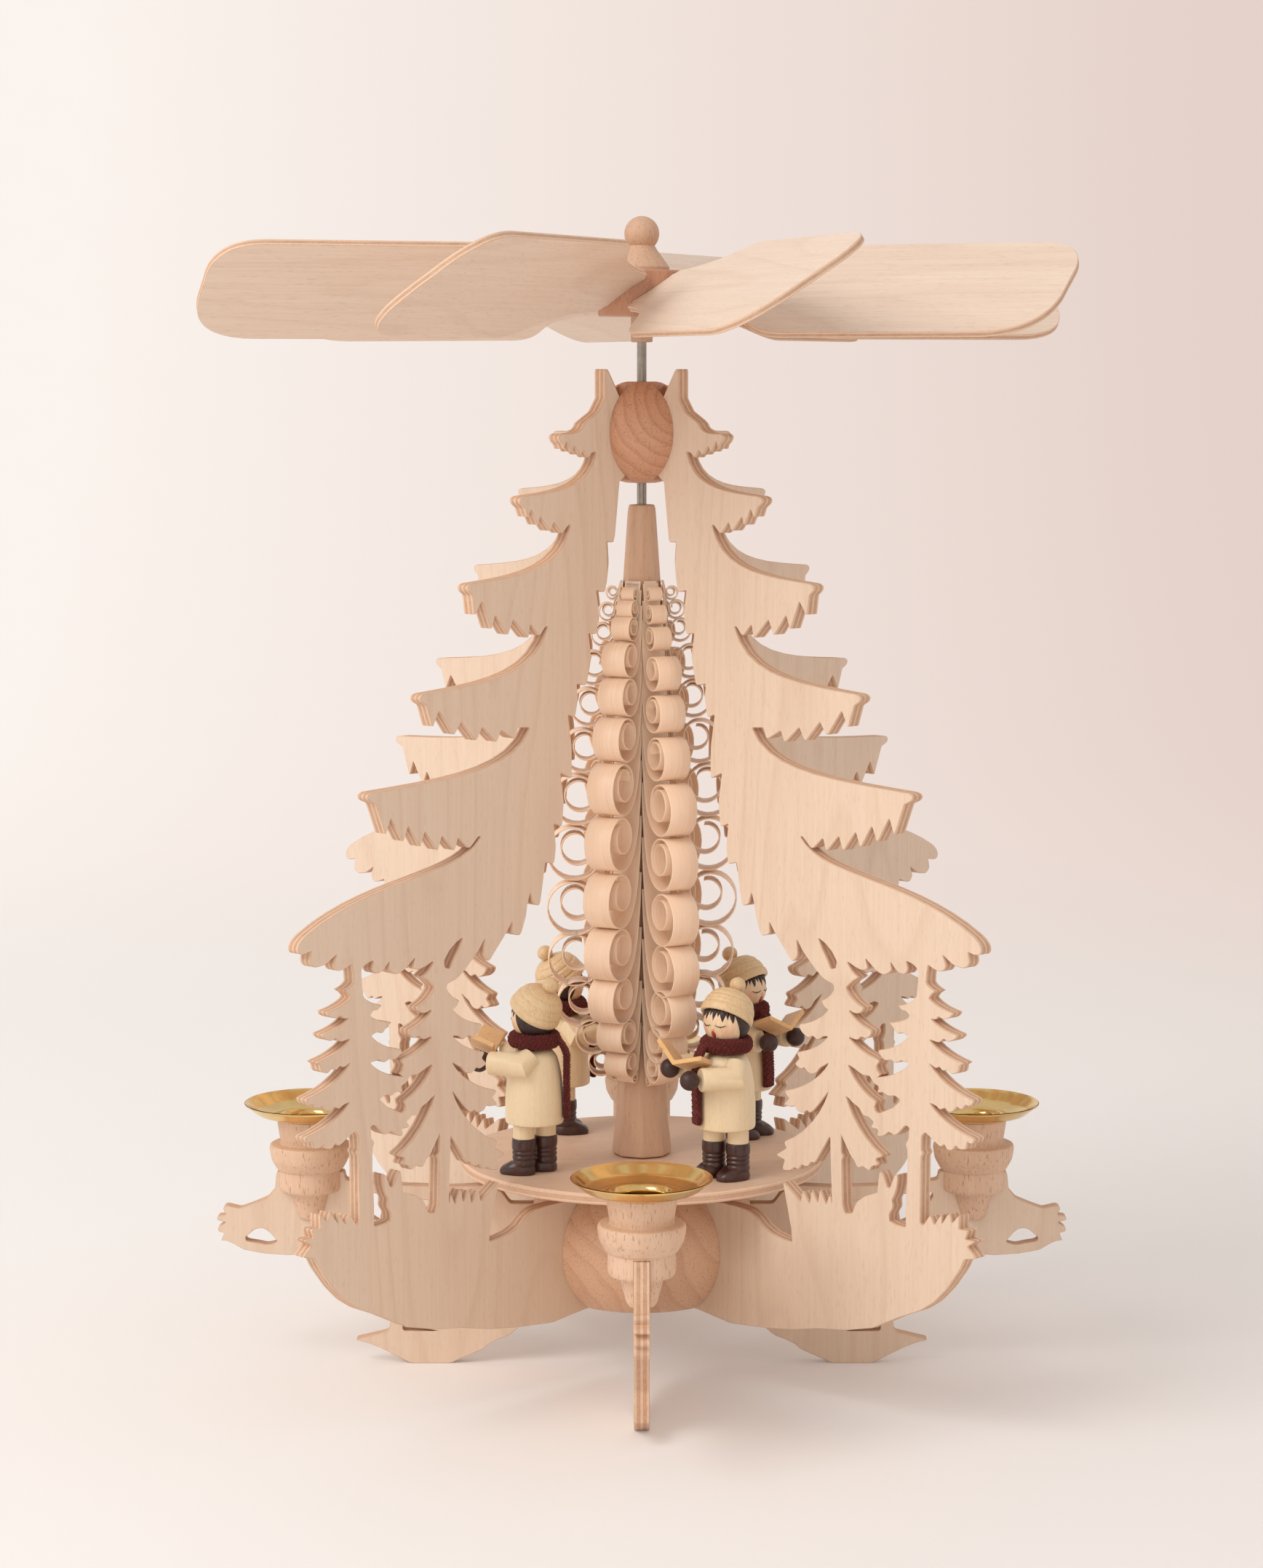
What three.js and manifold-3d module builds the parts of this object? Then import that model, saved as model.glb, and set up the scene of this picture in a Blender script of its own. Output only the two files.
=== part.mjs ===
import * as THREE from 'three';
import { mergeVertices } from 'three/addons/utils/BufferGeometryUtils.js';
import Module from 'manifold-3d';

// Christmas pyramid with a shaved curl tree and four carolers.
// Millimetres, Z up, the axle is the Z axis and the feet stand on z = 0.
// A spoke angle is measured from the front (-Y) and grows towards the right (+X).

const wasm = await Module();
wasm.setup();

// Sheet stock and clearances
const PLY = 5.5;
const BLADE_PLY = 2.4;
const SEAT_GAP = 0.3;
const RUN_GAP = 0.3;

// Facets on round pieces
const ROUND_TABLE = 40;
const ROUND_BALL = 24;
const ROUND_TURNED = 16;
const ROUND_CANDLE = 12;
const ROUND_SMALL = 10;
const ROUND_FINE = 8;
const ROUND_LEG = 6;
const CURVE_STEPS = 3;

// Base ball that carries panels and arms
const BALL_RADIUS = 44.3;
const BALL_CENTRE_Z = 49.8;
const BALL_SQUASH = 0.72;
const BALL_BOTTOM_Z = 27;
const BALL_TOP_Z = 73;
const TONGUE_RADIUS = 26;
const PANEL_TONGUE_TOP_Z = 70;
const ARM_TONGUE_TOP_Z = 62;

// Upper ball that carries the top bearing
const TOP_BALL_RADIUS = 19.5;
const TOP_BALL_CENTRE_Z = 351;
const TOP_BALL_HALF_HEIGHT = 18.5;
const TOP_TONGUE_RADIUS = 9;

// Axle and its bearings
const SPINDLE_RADIUS = 1.75;
const SPINDLE_POINT = 4;
const SPINDLE_IN_HUB = 10.8;
const CUP_RADIUS = 5;
const CUP_HEIGHT = 7;
const CUP_FLOOR = 2.5;
const CUP_SEAT_Z = 34;
const BALL_BORE_RADIUS = 6;
const BUSH_RADIUS = 4;
const BUSH_HEIGHT = 10;

// Turntable
const TABLE_RADIUS = 68;
const TABLE_THICKNESS = 4;
const TABLE_LIFT = 3.5;

// Curl tree
const TRUNK_FOOT_RADIUS = 11.6;
const TRUNK_FOOT_HEIGHT = 24;
const TRUNK_RADIUS = 7.8;
const TRUNK_TOP_RADIUS = 4.8;
const TRUNK_TAPER_HEIGHT = 31;
const TRUNK_CLEARANCE = 8;
const CURL_COLUMNS = 8;
const CURLS_PER_COLUMN = 13;
const CURL_FIRST_DROP = 32.5;
const CURL_LAST_RISE = 36.2;
const CURL_TOP_SIZE = 5;
const CURL_WIDEST_SIZE = 21;
const CURL_LAST_SIZE = 10;
const CURL_WIDEST_AT = 0.62;
const CURL_REACH = 0.43;
const CURL_ROOT_HALF = 2.3;
const CURL_THICKNESS = 0.6;
const CURL_RIBBON_MAX = 9.8;
const CURL_FINE_SIZE = 16;

// Rotor
const HUB_RADIUS = 16;
const HUB_LIFT = 23.7;
const HUB_HEIGHT = 16.6;
const BOSS_RADIUS = 4;
const BOSS_HEIGHT = 9.4;
const FINIAL_SKIRT_RADIUS = 10.3;
const FINIAL_NECK_RADIUS = 4.7;
const FINIAL_NECK_HEIGHT = 9;
const FINIAL_BALL_RADIUS = 6.4;
const BLADE_COUNT = 8;
const BLADE_FIRST_ANGLE = -25.7;
const BLADE_TILT = 32.5;
const BLADE_TIP_RADIUS = 164;
const BLADE_UPPER = 28.5;
const BLADE_LOWER = 31;
const BLADE_ROOT_UPPER = 11.6;
const BLADE_ROOT_LOWER = 13;
const BLADE_TONGUE_HALF = 9.4;
const BLADE_TONGUE_RADIUS = 10.5;

// Candle arms, holders and trays
const ARM_RADIUS = 125;
const ARM_TOP_Z = 74.1;
const ARM_PLATE_INNER = 13;
const ARM_PLATE_OUTER = 12.5;
const FOOT_FLAT = [72.5, 87];
const FOOT_TOE = [[97, 18], [98.5, 12.5], [108.6, 9.6], [104, 7.4], [96, 4.6]];
const FOOT_HEEL = [[68, 2.6], [60, 5.6], [58, 8.2], [54, 9.8], [51, 13]];
const FOOT_WEDGE = [[90.5, 15.6], [76, 12.2], [90.6, 12.8]];
const HOLDER_BOTTOM_Z = 55.5;
const HOLDER_TAPER_RADIUS = 5.2;
const HOLDER_TAPER_TOP_RADIUS = 7.8;
const HOLDER_TAPER_HEIGHT = 11;
const HOLDER_STEP_RADIUS = 11.8;
const HOLDER_STEP_HEIGHT = 8;
const HOLDER_COLLAR_RADIUS = 15.3;
const HOLDER_COLLAR_HEIGHT = 10.2;
const HOLDER_CONE_RADIUS = 11;
const HOLDER_CONE_TOP_RADIUS = 12.4;
const HOLDER_CONE_HEIGHT = 9.6;
const SOCKET_RADIUS = 8.75;
const SOCKET_DEPTH = 14;
const BRASS = 0.8;
const TRAY_RADIUS = 24;
const TRAY_RISE = 5.4;

// Claws and eye of the arm's root end, measured outwards from the candle
const CLAWS = [[32, 61.4], [33, 59.6], [31.6, 57.4], [35, 57], [35.2, 55.4], [31.8, 54.4]]
  .concat([[34.8, 52.8], [34.6, 50.8], [32.4, 50.4], [33.8, 47.4], [29, 46.2], [25.5, 44]]);
const EYE = [[12.1, 46.4], [15.7, 51], [18, 52.4], [21, 52], [25, 48.4], [23.8, 47.2], [16.3, 45.6]];

// Carolers: where each stands, which way feet, body and head look, and the side its scarf end hangs on
const CAROLER_INSET = 18;
const CAROLERS = [
  { angle: 38, feet: -45, body: -72, head: -38, scarf: 0 },
  { angle: 128, feet: 60, body: 48, head: 54, scarf: 0 },
  { angle: -142, feet: 102, body: 105, head: 108, scarf: 0 },
  { angle: -52, feet: -120, body: -100, head: -118, scarf: 180 },
];
const HEM_Z = 18.5;
const COAT_TOP_Z = 46.2;
const COAT_WAIST_Z = 36;
const COAT_RADIUS = 10.6;
const COAT_SHOULDER_RADIUS = 8.6;
const COAT_COLLAR_RADIUS = 5.8;
const HIP_RADIUS = 7.8;
const HIP_RECESS_RADIUS = 8.7;
const HIP_HEIGHT = 2.6;
const LEG_RADIUS = 4.1;
const LEG_SPACING = 10;
const BOOT_RADIUS = 4.5;
const BOOT_HEIGHT = 12.5;
const SHOE_LENGTH = 13.5;
const SHOE_HEIGHT = 4.6;
const HEAD_RADIUS = 8.4;
const HEAD_CENTRE_Z = 57.2;
const NECK_RADIUS = 4;
const HAT_RADIUS = 9.6;
const HAT_HEIGHT = 10.6;
const HAT_TILT = 30;
const POMPOM_RADIUS = 2.8;
const SLEEVE_RADIUS = 4.4;
const SLEEVE_Z = 39.6;
const SLEEVE_LENGTH = 12.4;
const SLEEVE_INWARD = 8.5;
const ELBOW_RADIUS = 10.4;
const ELBOW_FORWARD = 2.5;
const MITTEN_RADIUS = 3.6;
const MITTEN_REACH = 17;
const SCARF_RADIUS = 9.6;
const SCARF_HEIGHT = 5;
const SCARF_END_LENGTH = 24;
const SCARF_END_WIDTH = 4.4;
const SCARF_THICKNESS = 2.2;
const BOOK_LEAF = 10;
const BOOK_RISE = 4.5;
const BOOK_DEPTH = 9;
const BOOK_THICKNESS = 1.6;
const BOOK_TILT = 22;
const BOOK_LIFT = 2.8;
const BOOK_FORWARD = 20;

// Big tree of a panel, as [radius, height]: the bough tips and the notches under them
const SPIKE = [20.8, 374];
const SPIKE_SHOULDER = [21.3, 363];
const BOUGHS = [
  { tip: [45, 349.5], notch: [26.5, 344], lobes: 4, drop: 5 },
  { tip: [64.5, 327.5], notch: [39, 318.3], lobes: 4, drop: 7 },
  { tip: [90, 297], notch: [51, 281.8], lobes: 5, drop: 11 },
  { tip: [112, 260.5], notch: [59.8, 245.6], lobes: 6, drop: 12 },
  { tip: [137, 227], notch: [83.7, 208.8], lobes: 6, drop: 14 },
];
const LOW_TIP = [169, 176.5];
const NEEDLE_DEPTH = 5.5;

// Needle teeth along the inner edge, from the top down, and the step behind each tooth
const INNER_TEETH = [[17, 311], [21.5, 293], [25.7, 278], [31, 260], [36.8, 248.5]]
  .concat([[38.6, 226], [43.6, 209], [48, 195.6], [54.8, 181], [64.4, 171]]);
const INNER_STEP = [4.3, 1.2];

// The two small firs that join the lowest bough to the hill
const OUTER_FIR = {
  axis: 139.5,
  trunk: 5.6,
  top: 178,
  foot: 72,
  notches: [159, 151, 143.5, 135, 121.5, 112],
  boughs: [[155, 9.5, 8.5], [147.5, 14.5, 13.5], [138, 17, 18.5], [125.5, 23.5, 21.5], [113, 21.5, 21.5]],
};
const INNER_FIR = {
  axis: 102.6,
  trunk: 5.4,
  top: 178,
  foot: 72,
  notches: [159, 148.5, 139.5, 130, 119.5, 104],
  boughs: [[153, 12, 9], [143, 14.5, 19.5], [133, 18.5, 20.5], [119.5, 18.5, 25.5], [96.5, 21, 29]],
};

// Hill below the firs
const HILL_TOP_Z = 79;
const HILL_OUTLINE = [[160, 66], [154, 58], [148, 52], [142, 48], [132, 44], [120, 37.5], [107, 34]]
  .concat([[94, 32], [81, 29.5], [68, 27.5], [57, 27]]);
const RABBIT = [[134, 77], [134, 84], [128.6, 82], [129, 87], [132, 90], [131.6, 93.4], [128.2, 91]]
  .concat([[125.4, 95], [123.4, 92.6], [125, 89], [122, 86.4], [117, 86], [112.4, 82], [111, 77]]);

// Colours of the stock
const BIRCH = { color: 0xe6c9a4, roughness: 0.62, metalness: 0 };
const BEECH = { color: 0xd9b08a, roughness: 0.6, metalness: 0 };
const LIME = { color: 0xf0d2ae, roughness: 0.5, metalness: 0 };
const MAPLE = { color: 0xe9cf9c, roughness: 0.42, metalness: 0 };
const LEATHER_PAINT = { color: 0x3a211b, roughness: 0.4, metalness: 0 };
const WOOL = { color: 0x6b161a, roughness: 0.95, metalness: 0 };
const BRASS_SHEET = { color: 0xc9a24a, roughness: 0.22, metalness: 1 };
const STEEL = { color: 0x9a958d, roughness: 0.3, metalness: 1 };

// Heights that follow from the sizes above
const TABLE_BOTTOM_Z = BALL_TOP_Z + TABLE_LIFT;
const TABLE_TOP_Z = TABLE_BOTTOM_Z + TABLE_THICKNESS;
const DECK_Z = TABLE_TOP_Z + SEAT_GAP;
const TOP_BALL_BOTTOM_Z = TOP_BALL_CENTRE_Z - TOP_BALL_HALF_HEIGHT;
const TOP_BALL_TOP_Z = TOP_BALL_CENTRE_Z + TOP_BALL_HALF_HEIGHT;
const HUB_BOTTOM_Z = TOP_BALL_TOP_Z + HUB_LIFT;
const SPINDLE_TOP_Z = HUB_BOTTOM_Z + SPINDLE_IN_HUB;
const TRUNK_TOP_Z = TOP_BALL_BOTTOM_Z - TRUNK_CLEARANCE;
const CURL_FIRST_Z = TRUNK_TOP_Z - CURL_FIRST_DROP;
const CURL_LAST_Z = DECK_Z + CURL_LAST_RISE;
const HUB_TOP_Z = HUB_BOTTOM_Z + HUB_HEIGHT;
const HUB_MIDDLE_Z = HUB_BOTTOM_Z + HUB_HEIGHT / 2 + 1;
const COLLAR_BOTTOM_Z = HOLDER_BOTTOM_Z + HOLDER_TAPER_HEIGHT + HOLDER_STEP_HEIGHT;
const CONE_BOTTOM_Z = COLLAR_BOTTOM_Z + HOLDER_COLLAR_HEIGHT;
const HOLDER_TOP_Z = CONE_BOTTOM_Z + HOLDER_CONE_HEIGHT;
const SLOT_WIDTH = PLY + 2 * SEAT_GAP;

const radians = THREE.MathUtils.degToRad;
const mix = (a, b, t) => a + (b - a) * t;
const mixPoint = (a, b, t) => [mix(a[0], b[0], t), mix(a[1], b[1], t)];

// Merged, outward facing copy of a geometry, without flat triangles
function closed(geometry) {
  const bare = geometry.index ? geometry.toNonIndexed() : geometry.clone();
  bare.deleteAttribute('normal');
  bare.deleteAttribute('uv');
  const merged = mergeVertices(bare, 1e-4);
  const points = merged.attributes.position;
  const index = merged.index.array;
  const kept = [];
  let volume = 0;
  const [a, b, c] = [new THREE.Vector3(), new THREE.Vector3(), new THREE.Vector3()];
  for (let i = 0; i < index.length; i += 3) {
    const [p, q, r] = [index[i], index[i + 1], index[i + 2]];
    if (p === q || q === r || r === p) continue;
    kept.push(p, q, r);
    a.fromBufferAttribute(points, p);
    b.fromBufferAttribute(points, q);
    c.fromBufferAttribute(points, r);
    volume += a.dot(b.cross(c));
  }
  if (volume < 0) kept.reverse();
  const result = new THREE.BufferGeometry();
  result.setAttribute('position', points);
  result.setIndex(kept);
  return result;
}

function solid(geometry) {
  const body = closed(geometry);
  return new wasm.Manifold(new wasm.Mesh({
    numProp: 3,
    vertProperties: new Float32Array(body.attributes.position.array),
    triVerts: new Uint32Array(body.index.array),
  }));
}

function geometryOf(manifold) {
  const mesh = manifold.getMesh();
  const geometry = new THREE.BufferGeometry();
  geometry.setAttribute('position', new THREE.BufferAttribute(mesh.vertProperties, 3));
  geometry.setIndex(new THREE.BufferAttribute(mesh.triVerts, 1));
  return geometry;
}

const joined = (parts) => parts.slice(1).reduce((sum, part) => sum.add(part), parts[0]);

// Turned form from a profile of [radius, height] pairs
function turned(profile, facets) {
  const points = profile.map(([r, z]) => new THREE.Vector2(r, z));
  return new THREE.LatheGeometry(points, facets).rotateX(Math.PI / 2);
}

// Arc of a ball's profile between two heights, squashed along its axis if asked
function ballArc(radius, centre, from, to, steps, squash = 1) {
  const elevation = (z) => Math.asin(THREE.MathUtils.clamp((z - centre) / (radius * squash), -1, 1));
  const [start, end] = [elevation(from), elevation(to)];
  return Array.from({ length: steps + 1 }, (_, i) => {
    const angle = mix(start, end, i / steps);
    return [radius * Math.cos(angle), centre + radius * squash * Math.sin(angle)];
  });
}

// Upright plate on the XZ plane, centred on it, from a shape in radius and height
function plate(shape, thickness) {
  const options = { depth: thickness, bevelEnabled: false, curveSegments: CURVE_STEPS };
  return new THREE.ExtrudeGeometry(shape, options).translate(0, 0, -thickness / 2).rotateX(Math.PI / 2);
}

function outline(points) {
  return new THREE.Shape(points.map(([r, z]) => new THREE.Vector2(r, z)));
}

// Counterclockwise edge of a hole in a plate
function cutout(points) {
  const edge = points.map(([r, z]) => new THREE.Vector2(r, z));
  return new THREE.Path(THREE.ShapeUtils.isClockWise(edge) ? edge.reverse() : edge);
}

const spokeTurn = (angle) => radians(angle - 90);

const pyramid = new THREE.Group();

function addMesh(parent, name, geometry, finish) {
  const mesh = new THREE.Mesh(closed(geometry), new THREE.MeshStandardMaterial(finish));
  mesh.name = name;
  parent.add(mesh);
  return mesh;
}

function spoke(angle) {
  const group = new THREE.Group();
  group.rotation.z = spokeTurn(angle);
  pyramid.add(group);
  return group;
}

// Slots for upright plates in a turned ball
function slotted(ball, angles, innerRadius, reach, bottom, top) {
  const slot = new THREE.BoxGeometry(reach - innerRadius, SLOT_WIDTH, top - bottom)
    .translate((reach + innerRadius) / 2, 0, (top + bottom) / 2);
  return angles.reduce((rest, angle) => rest.subtract(solid(slot.clone().rotateZ(spokeTurn(angle)))), ball);
}

const PANEL_ANGLES = [-45, 45, 135, -135];
const ARM_ANGLES = [0, 90, 180, -90];

// Needles below a bough: each lobe ends in a slanted cut
function needles(shape, from, to, lobes, depth) {
  for (let k = 0; k < lobes; k += 1) {
    const low = mixPoint(from, to, k / (lobes - 1));
    shape.lineTo(low[0] - 2.2, low[1] + mix(depth, depth * 0.55, k / lobes));
    shape.lineTo(low[0], low[1]);
  }
}

function bigTree() {
  const shape = new THREE.Shape();
  shape.moveTo(SPIKE[0], SPIKE[1]);
  shape.lineTo(SPIKE_SHOULDER[0], SPIKE_SHOULDER[1]);
  let start = SPIKE_SHOULDER;
  for (const { tip, notch, lobes, drop } of BOUGHS) {
    const [dr, dz] = [tip[0] - start[0], tip[1] - start[1]];
    shape.bezierCurveTo(
      start[0] + 0.1 * dr, start[1] + 0.8 * dz,
      start[0] + 0.48 * dr, start[1] + 0.85 * dz,
      tip[0] - 2, tip[1] + 1.4,
    );
    shape.lineTo(tip[0], tip[1]);
    const first = [tip[0] - 0.55 * drop, tip[1] - drop];
    const last = [notch[0] + 6, notch[1] - 2.6];
    needles(shape, first, last, lobes, NEEDLE_DEPTH * Math.min(1, drop / 10));
    shape.lineTo(notch[0] + 0.6, notch[1] + 0.4);
    shape.lineTo(notch[0], notch[1] - 0.6);
    start = notch;
  }
  shape.bezierCurveTo(92, 196, 135, 201, LOW_TIP[0] - 2, LOW_TIP[1] + 1.6);
  shape.lineTo(LOW_TIP[0], LOW_TIP[1]);
  shape.lineTo(LOW_TIP[0] - 1, LOW_TIP[1] - 1.6);
  needles(shape, [159, 170.5], [87, 165.5], 9, NEEDLE_DEPTH);
  shape.lineTo(81.5, 165);
  const teeth = [...INNER_TEETH].reverse();
  for (const [r, z] of teeth) {
    shape.lineTo(r + INNER_STEP[0], z + INNER_STEP[1]);
    shape.lineTo(r, z);
  }
  const neck = TOP_BALL_BOTTOM_Z + 1.5;
  shape.lineTo(14, neck);
  shape.lineTo(TOP_TONGUE_RADIUS, neck + 3);
  shape.lineTo(TOP_TONGUE_RADIUS, TOP_BALL_CENTRE_Z + 10);
  shape.lineTo(14, TOP_BALL_CENTRE_Z + 13);
  return shape;
}

// Outline of one side of a small fir, from its top down
function firSide(fir, side) {
  const half = fir.trunk / 2;
  const points = [[fir.axis + side * half, fir.top]];
  const waist = half + 2;
  points.push([fir.axis + side * (half + 0.4), fir.notches[0]]);
  fir.boughs.forEach(([tipZ, outer, inner], k) => {
    const reach = side > 0 ? outer : inner;
    const above = fir.notches[k];
    const below = fir.notches[k + 1];
    points.push([fir.axis + side * mix(waist, reach, 0.35), mix(above, tipZ, 0.55)]);
    points.push([fir.axis + side * reach, tipZ]);
    points.push([fir.axis + side * (k < fir.boughs.length - 1 ? waist : half), below]);
  });
  points.push([fir.axis + side * half, fir.foot]);
  return points;
}

function firShape(fir) {
  return outline([...firSide(fir, 1), ...firSide(fir, -1).reverse()]);
}

// Tufts of grass between two points, each blade a narrow peak
function grass(from, to, blades, height) {
  const points = [];
  for (let k = 0; k < blades; k += 1) {
    const base = mixPoint(from, to, k / blades);
    const peak = mixPoint(from, to, (k + 0.65) / blades);
    points.push(base, [peak[0], peak[1] + height]);
  }
  return points;
}

function hillShape() {
  const points = [[TONGUE_RADIUS, BALL_BOTTOM_Z], [TONGUE_RADIUS, PANEL_TONGUE_TOP_Z], [49, PANEL_TONGUE_TOP_Z]];
  points.push([58, 69.4], [67, 65], [74, 61.6], [80, 61.2], [81.6, 63], [77.2, 82.5]);
  points.push(...grass([84, 77.5], [100, 77.5], 4, 5.5), [100, HILL_TOP_Z]);
  points.push([110, 76.5], [134, HILL_TOP_Z], [143, HILL_TOP_Z]);
  points.push(...grass([145.5, 80], [160, 81], 4, 4.2));
  points.push([163.5, 80.4], [162, 77.6], [166.5, 77], [163, 74.6], [167, 71], [162, 69.8]);
  return outline([...points, ...HILL_OUTLINE]);
}

function panelSolid() {
  const sheets = [bigTree(), firShape(OUTER_FIR), firShape(INNER_FIR), hillShape(), outline(RABBIT)];
  const slit = outline([[97.4, 162], [100.8, 163.4], [93.6, 174.4], [92, 173.8]]);
  const body = joined(sheets.map((sheet) => solid(plate(sheet, PLY))));
  return body.subtract(solid(plate(slit, PLY + 2)));
}

const panelGeometry = geometryOf(panelSolid());
PANEL_ANGLES.forEach((angle, k) => addMesh(spoke(angle), `tree_panel_${k + 1}`, panelGeometry, BIRCH));

// Candle arm: root, foot and the plate that the holder straddles
function armShape() {
  const inner = ARM_RADIUS - ARM_PLATE_INNER;
  const outer = ARM_RADIUS + ARM_PLATE_OUTER;
  const fromCandle = ([r, z]) => [ARM_RADIUS + r, z];
  const shape = new THREE.Shape();
  shape.moveTo(TONGUE_RADIUS, BALL_BOTTOM_Z);
  shape.lineTo(TONGUE_RADIUS, ARM_TONGUE_TOP_Z);
  shape.lineTo(BALL_RADIUS + 22, ARM_TONGUE_TOP_Z);
  shape.lineTo(BALL_RADIUS + 30, ARM_TOP_Z - 8);
  shape.lineTo(inner - 5, ARM_TOP_Z - 4);
  shape.lineTo(inner - 0.2, ARM_TOP_Z - 2.7);
  shape.lineTo(inner, ARM_TOP_Z);
  shape.lineTo(outer, ARM_TOP_Z);
  shape.lineTo(outer + 0.8, ARM_TOP_Z - 6.8);
  shape.quadraticCurveTo(outer + 3, ARM_TOP_Z - 11.9, outer + 14, ARM_TOP_Z - 14.3);
  CLAWS.map(fromCandle).forEach(([r, z]) => shape.lineTo(r, z));
  shape.lineTo(outer + 5, 42.4);
  shape.lineTo(outer - 5, 41.8);
  shape.quadraticCurveTo(ARM_RADIUS - 15, 43, FOOT_TOE[0][0], FOOT_TOE[0][1]);
  FOOT_TOE.slice(1).forEach(([r, z]) => shape.lineTo(r, z));
  shape.lineTo(FOOT_FLAT[1], 0);
  shape.lineTo(FOOT_FLAT[0], 0);
  FOOT_HEEL.forEach(([r, z]) => shape.lineTo(r, z));
  shape.quadraticCurveTo(BALL_RADIUS, 22, TONGUE_RADIUS + 10, BALL_BOTTOM_Z);
  const window = [[BALL_RADIUS + 30, 52], [BALL_RADIUS + 26, 57], [BALL_RADIUS + 33, 62.6]]
    .concat([[inner - 4, 66.6], [inner - 1.6, 65.4], [inner - 5, 60], [inner - 14, 54]]);
  shape.holes.push(cutout(EYE.map(fromCandle)), cutout(FOOT_WEDGE), cutout(window));
  return shape;
}

const armGeometry = plate(armShape(), PLY);
const spokes = ARM_ANGLES.map((angle) => spoke(angle));
spokes.forEach((group, k) => addMesh(group, `candle_arm_${k + 1}`, armGeometry, BIRCH));

// Turned holder with a slot from below for the arm and a bore for the tray's socket
function holderGeometry() {
  const bore = SOCKET_RADIUS + BRASS + SEAT_GAP;
  const stepTop = HOLDER_BOTTOM_Z + HOLDER_TAPER_HEIGHT;
  const boreBottom = HOLDER_TOP_Z - SOCKET_DEPTH - BRASS - SEAT_GAP;
  const body = turned([
    [0, HOLDER_BOTTOM_Z],
    [HOLDER_TAPER_RADIUS, HOLDER_BOTTOM_Z],
    [HOLDER_TAPER_TOP_RADIUS, stepTop],
    [HOLDER_STEP_RADIUS - 1, stepTop],
    [HOLDER_STEP_RADIUS, COLLAR_BOTTOM_Z],
    [HOLDER_COLLAR_RADIUS - 2.2, COLLAR_BOTTOM_Z + 1],
    [HOLDER_COLLAR_RADIUS - 0.4, COLLAR_BOTTOM_Z + 4.4],
    [HOLDER_COLLAR_RADIUS, COLLAR_BOTTOM_Z + 7.6],
    [HOLDER_COLLAR_RADIUS - 1.2, CONE_BOTTOM_Z],
    [HOLDER_CONE_RADIUS, CONE_BOTTOM_Z],
    [HOLDER_CONE_TOP_RADIUS, HOLDER_TOP_Z],
    [bore, HOLDER_TOP_Z],
    [bore, boreBottom],
    [0, boreBottom],
  ], ROUND_CANDLE);
  const slotTop = ARM_TOP_Z + SEAT_GAP;
  const slot = new THREE.BoxGeometry(4 * HOLDER_COLLAR_RADIUS, SLOT_WIDTH, slotTop)
    .translate(0, 0, slotTop / 2);
  return geometryOf(solid(body).subtract(solid(slot)));
}

// Brass drip tray with its candle socket in one pressing
function trayGeometry() {
  const rest = HOLDER_TOP_Z + SEAT_GAP;
  const floor = HOLDER_TOP_Z - SOCKET_DEPTH;
  const wall = SOCKET_RADIUS + BRASS;
  return turned([
    [0, floor - BRASS],
    [wall, floor - BRASS],
    [wall, rest],
    [TRAY_RADIUS * 0.55, rest],
    [TRAY_RADIUS * 0.82, rest + TRAY_RISE * 0.38],
    [TRAY_RADIUS, rest + TRAY_RISE],
    [TRAY_RADIUS - BRASS / 2, rest + TRAY_RISE + BRASS],
    [TRAY_RADIUS * 0.8, rest + TRAY_RISE * 0.38 + BRASS],
    [TRAY_RADIUS * 0.54, rest + BRASS],
    [SOCKET_RADIUS, rest + BRASS],
    [SOCKET_RADIUS, floor],
    [0, floor],
  ], ROUND_CANDLE);
}

const holder = holderGeometry();
const tray = trayGeometry();
spokes.forEach((group, k) => {
  addMesh(group, `candle_holder_${k + 1}`, holder, BEECH).position.x = ARM_RADIUS;
  addMesh(group, `drip_tray_${k + 1}`, tray, BRASS_SHEET).position.x = ARM_RADIUS;
});

// Base ball with the bore that seats the bearing cup
function baseBall() {
  const boreFloor = CUP_SEAT_Z - SEAT_GAP;
  const profile = [
    [0, BALL_BOTTOM_Z],
    ...ballArc(BALL_RADIUS, BALL_CENTRE_Z, BALL_BOTTOM_Z, BALL_TOP_Z, 5, BALL_SQUASH),
    [BALL_BORE_RADIUS, BALL_TOP_Z],
    [BALL_BORE_RADIUS, boreFloor],
    [0, boreFloor],
  ];
  const inner = TONGUE_RADIUS - SEAT_GAP;
  const outer = BALL_RADIUS + 2;
  const low = BALL_BOTTOM_Z - 1;
  const ball = solid(turned(profile, ROUND_BALL));
  const forPanels = slotted(ball, PANEL_ANGLES, inner, outer, low, PANEL_TONGUE_TOP_Z + SEAT_GAP);
  return geometryOf(slotted(forPanels, ARM_ANGLES, inner, outer, low, ARM_TONGUE_TOP_Z + SEAT_GAP));
}

addMesh(pyramid, 'base_hub', baseBall(), BEECH);

const cupRadius = BALL_BORE_RADIUS - SEAT_GAP;
addMesh(pyramid, 'bearing_cup', turned([
  [0, CUP_SEAT_Z],
  [cupRadius, CUP_SEAT_Z],
  [cupRadius, CUP_SEAT_Z + CUP_HEIGHT],
  [CUP_RADIUS - 1, CUP_SEAT_Z + CUP_HEIGHT],
  [SPINDLE_RADIUS + RUN_GAP, CUP_SEAT_Z + CUP_FLOOR + SPINDLE_POINT],
  [0, CUP_SEAT_Z + CUP_FLOOR],
], ROUND_SMALL), STEEL);

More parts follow.
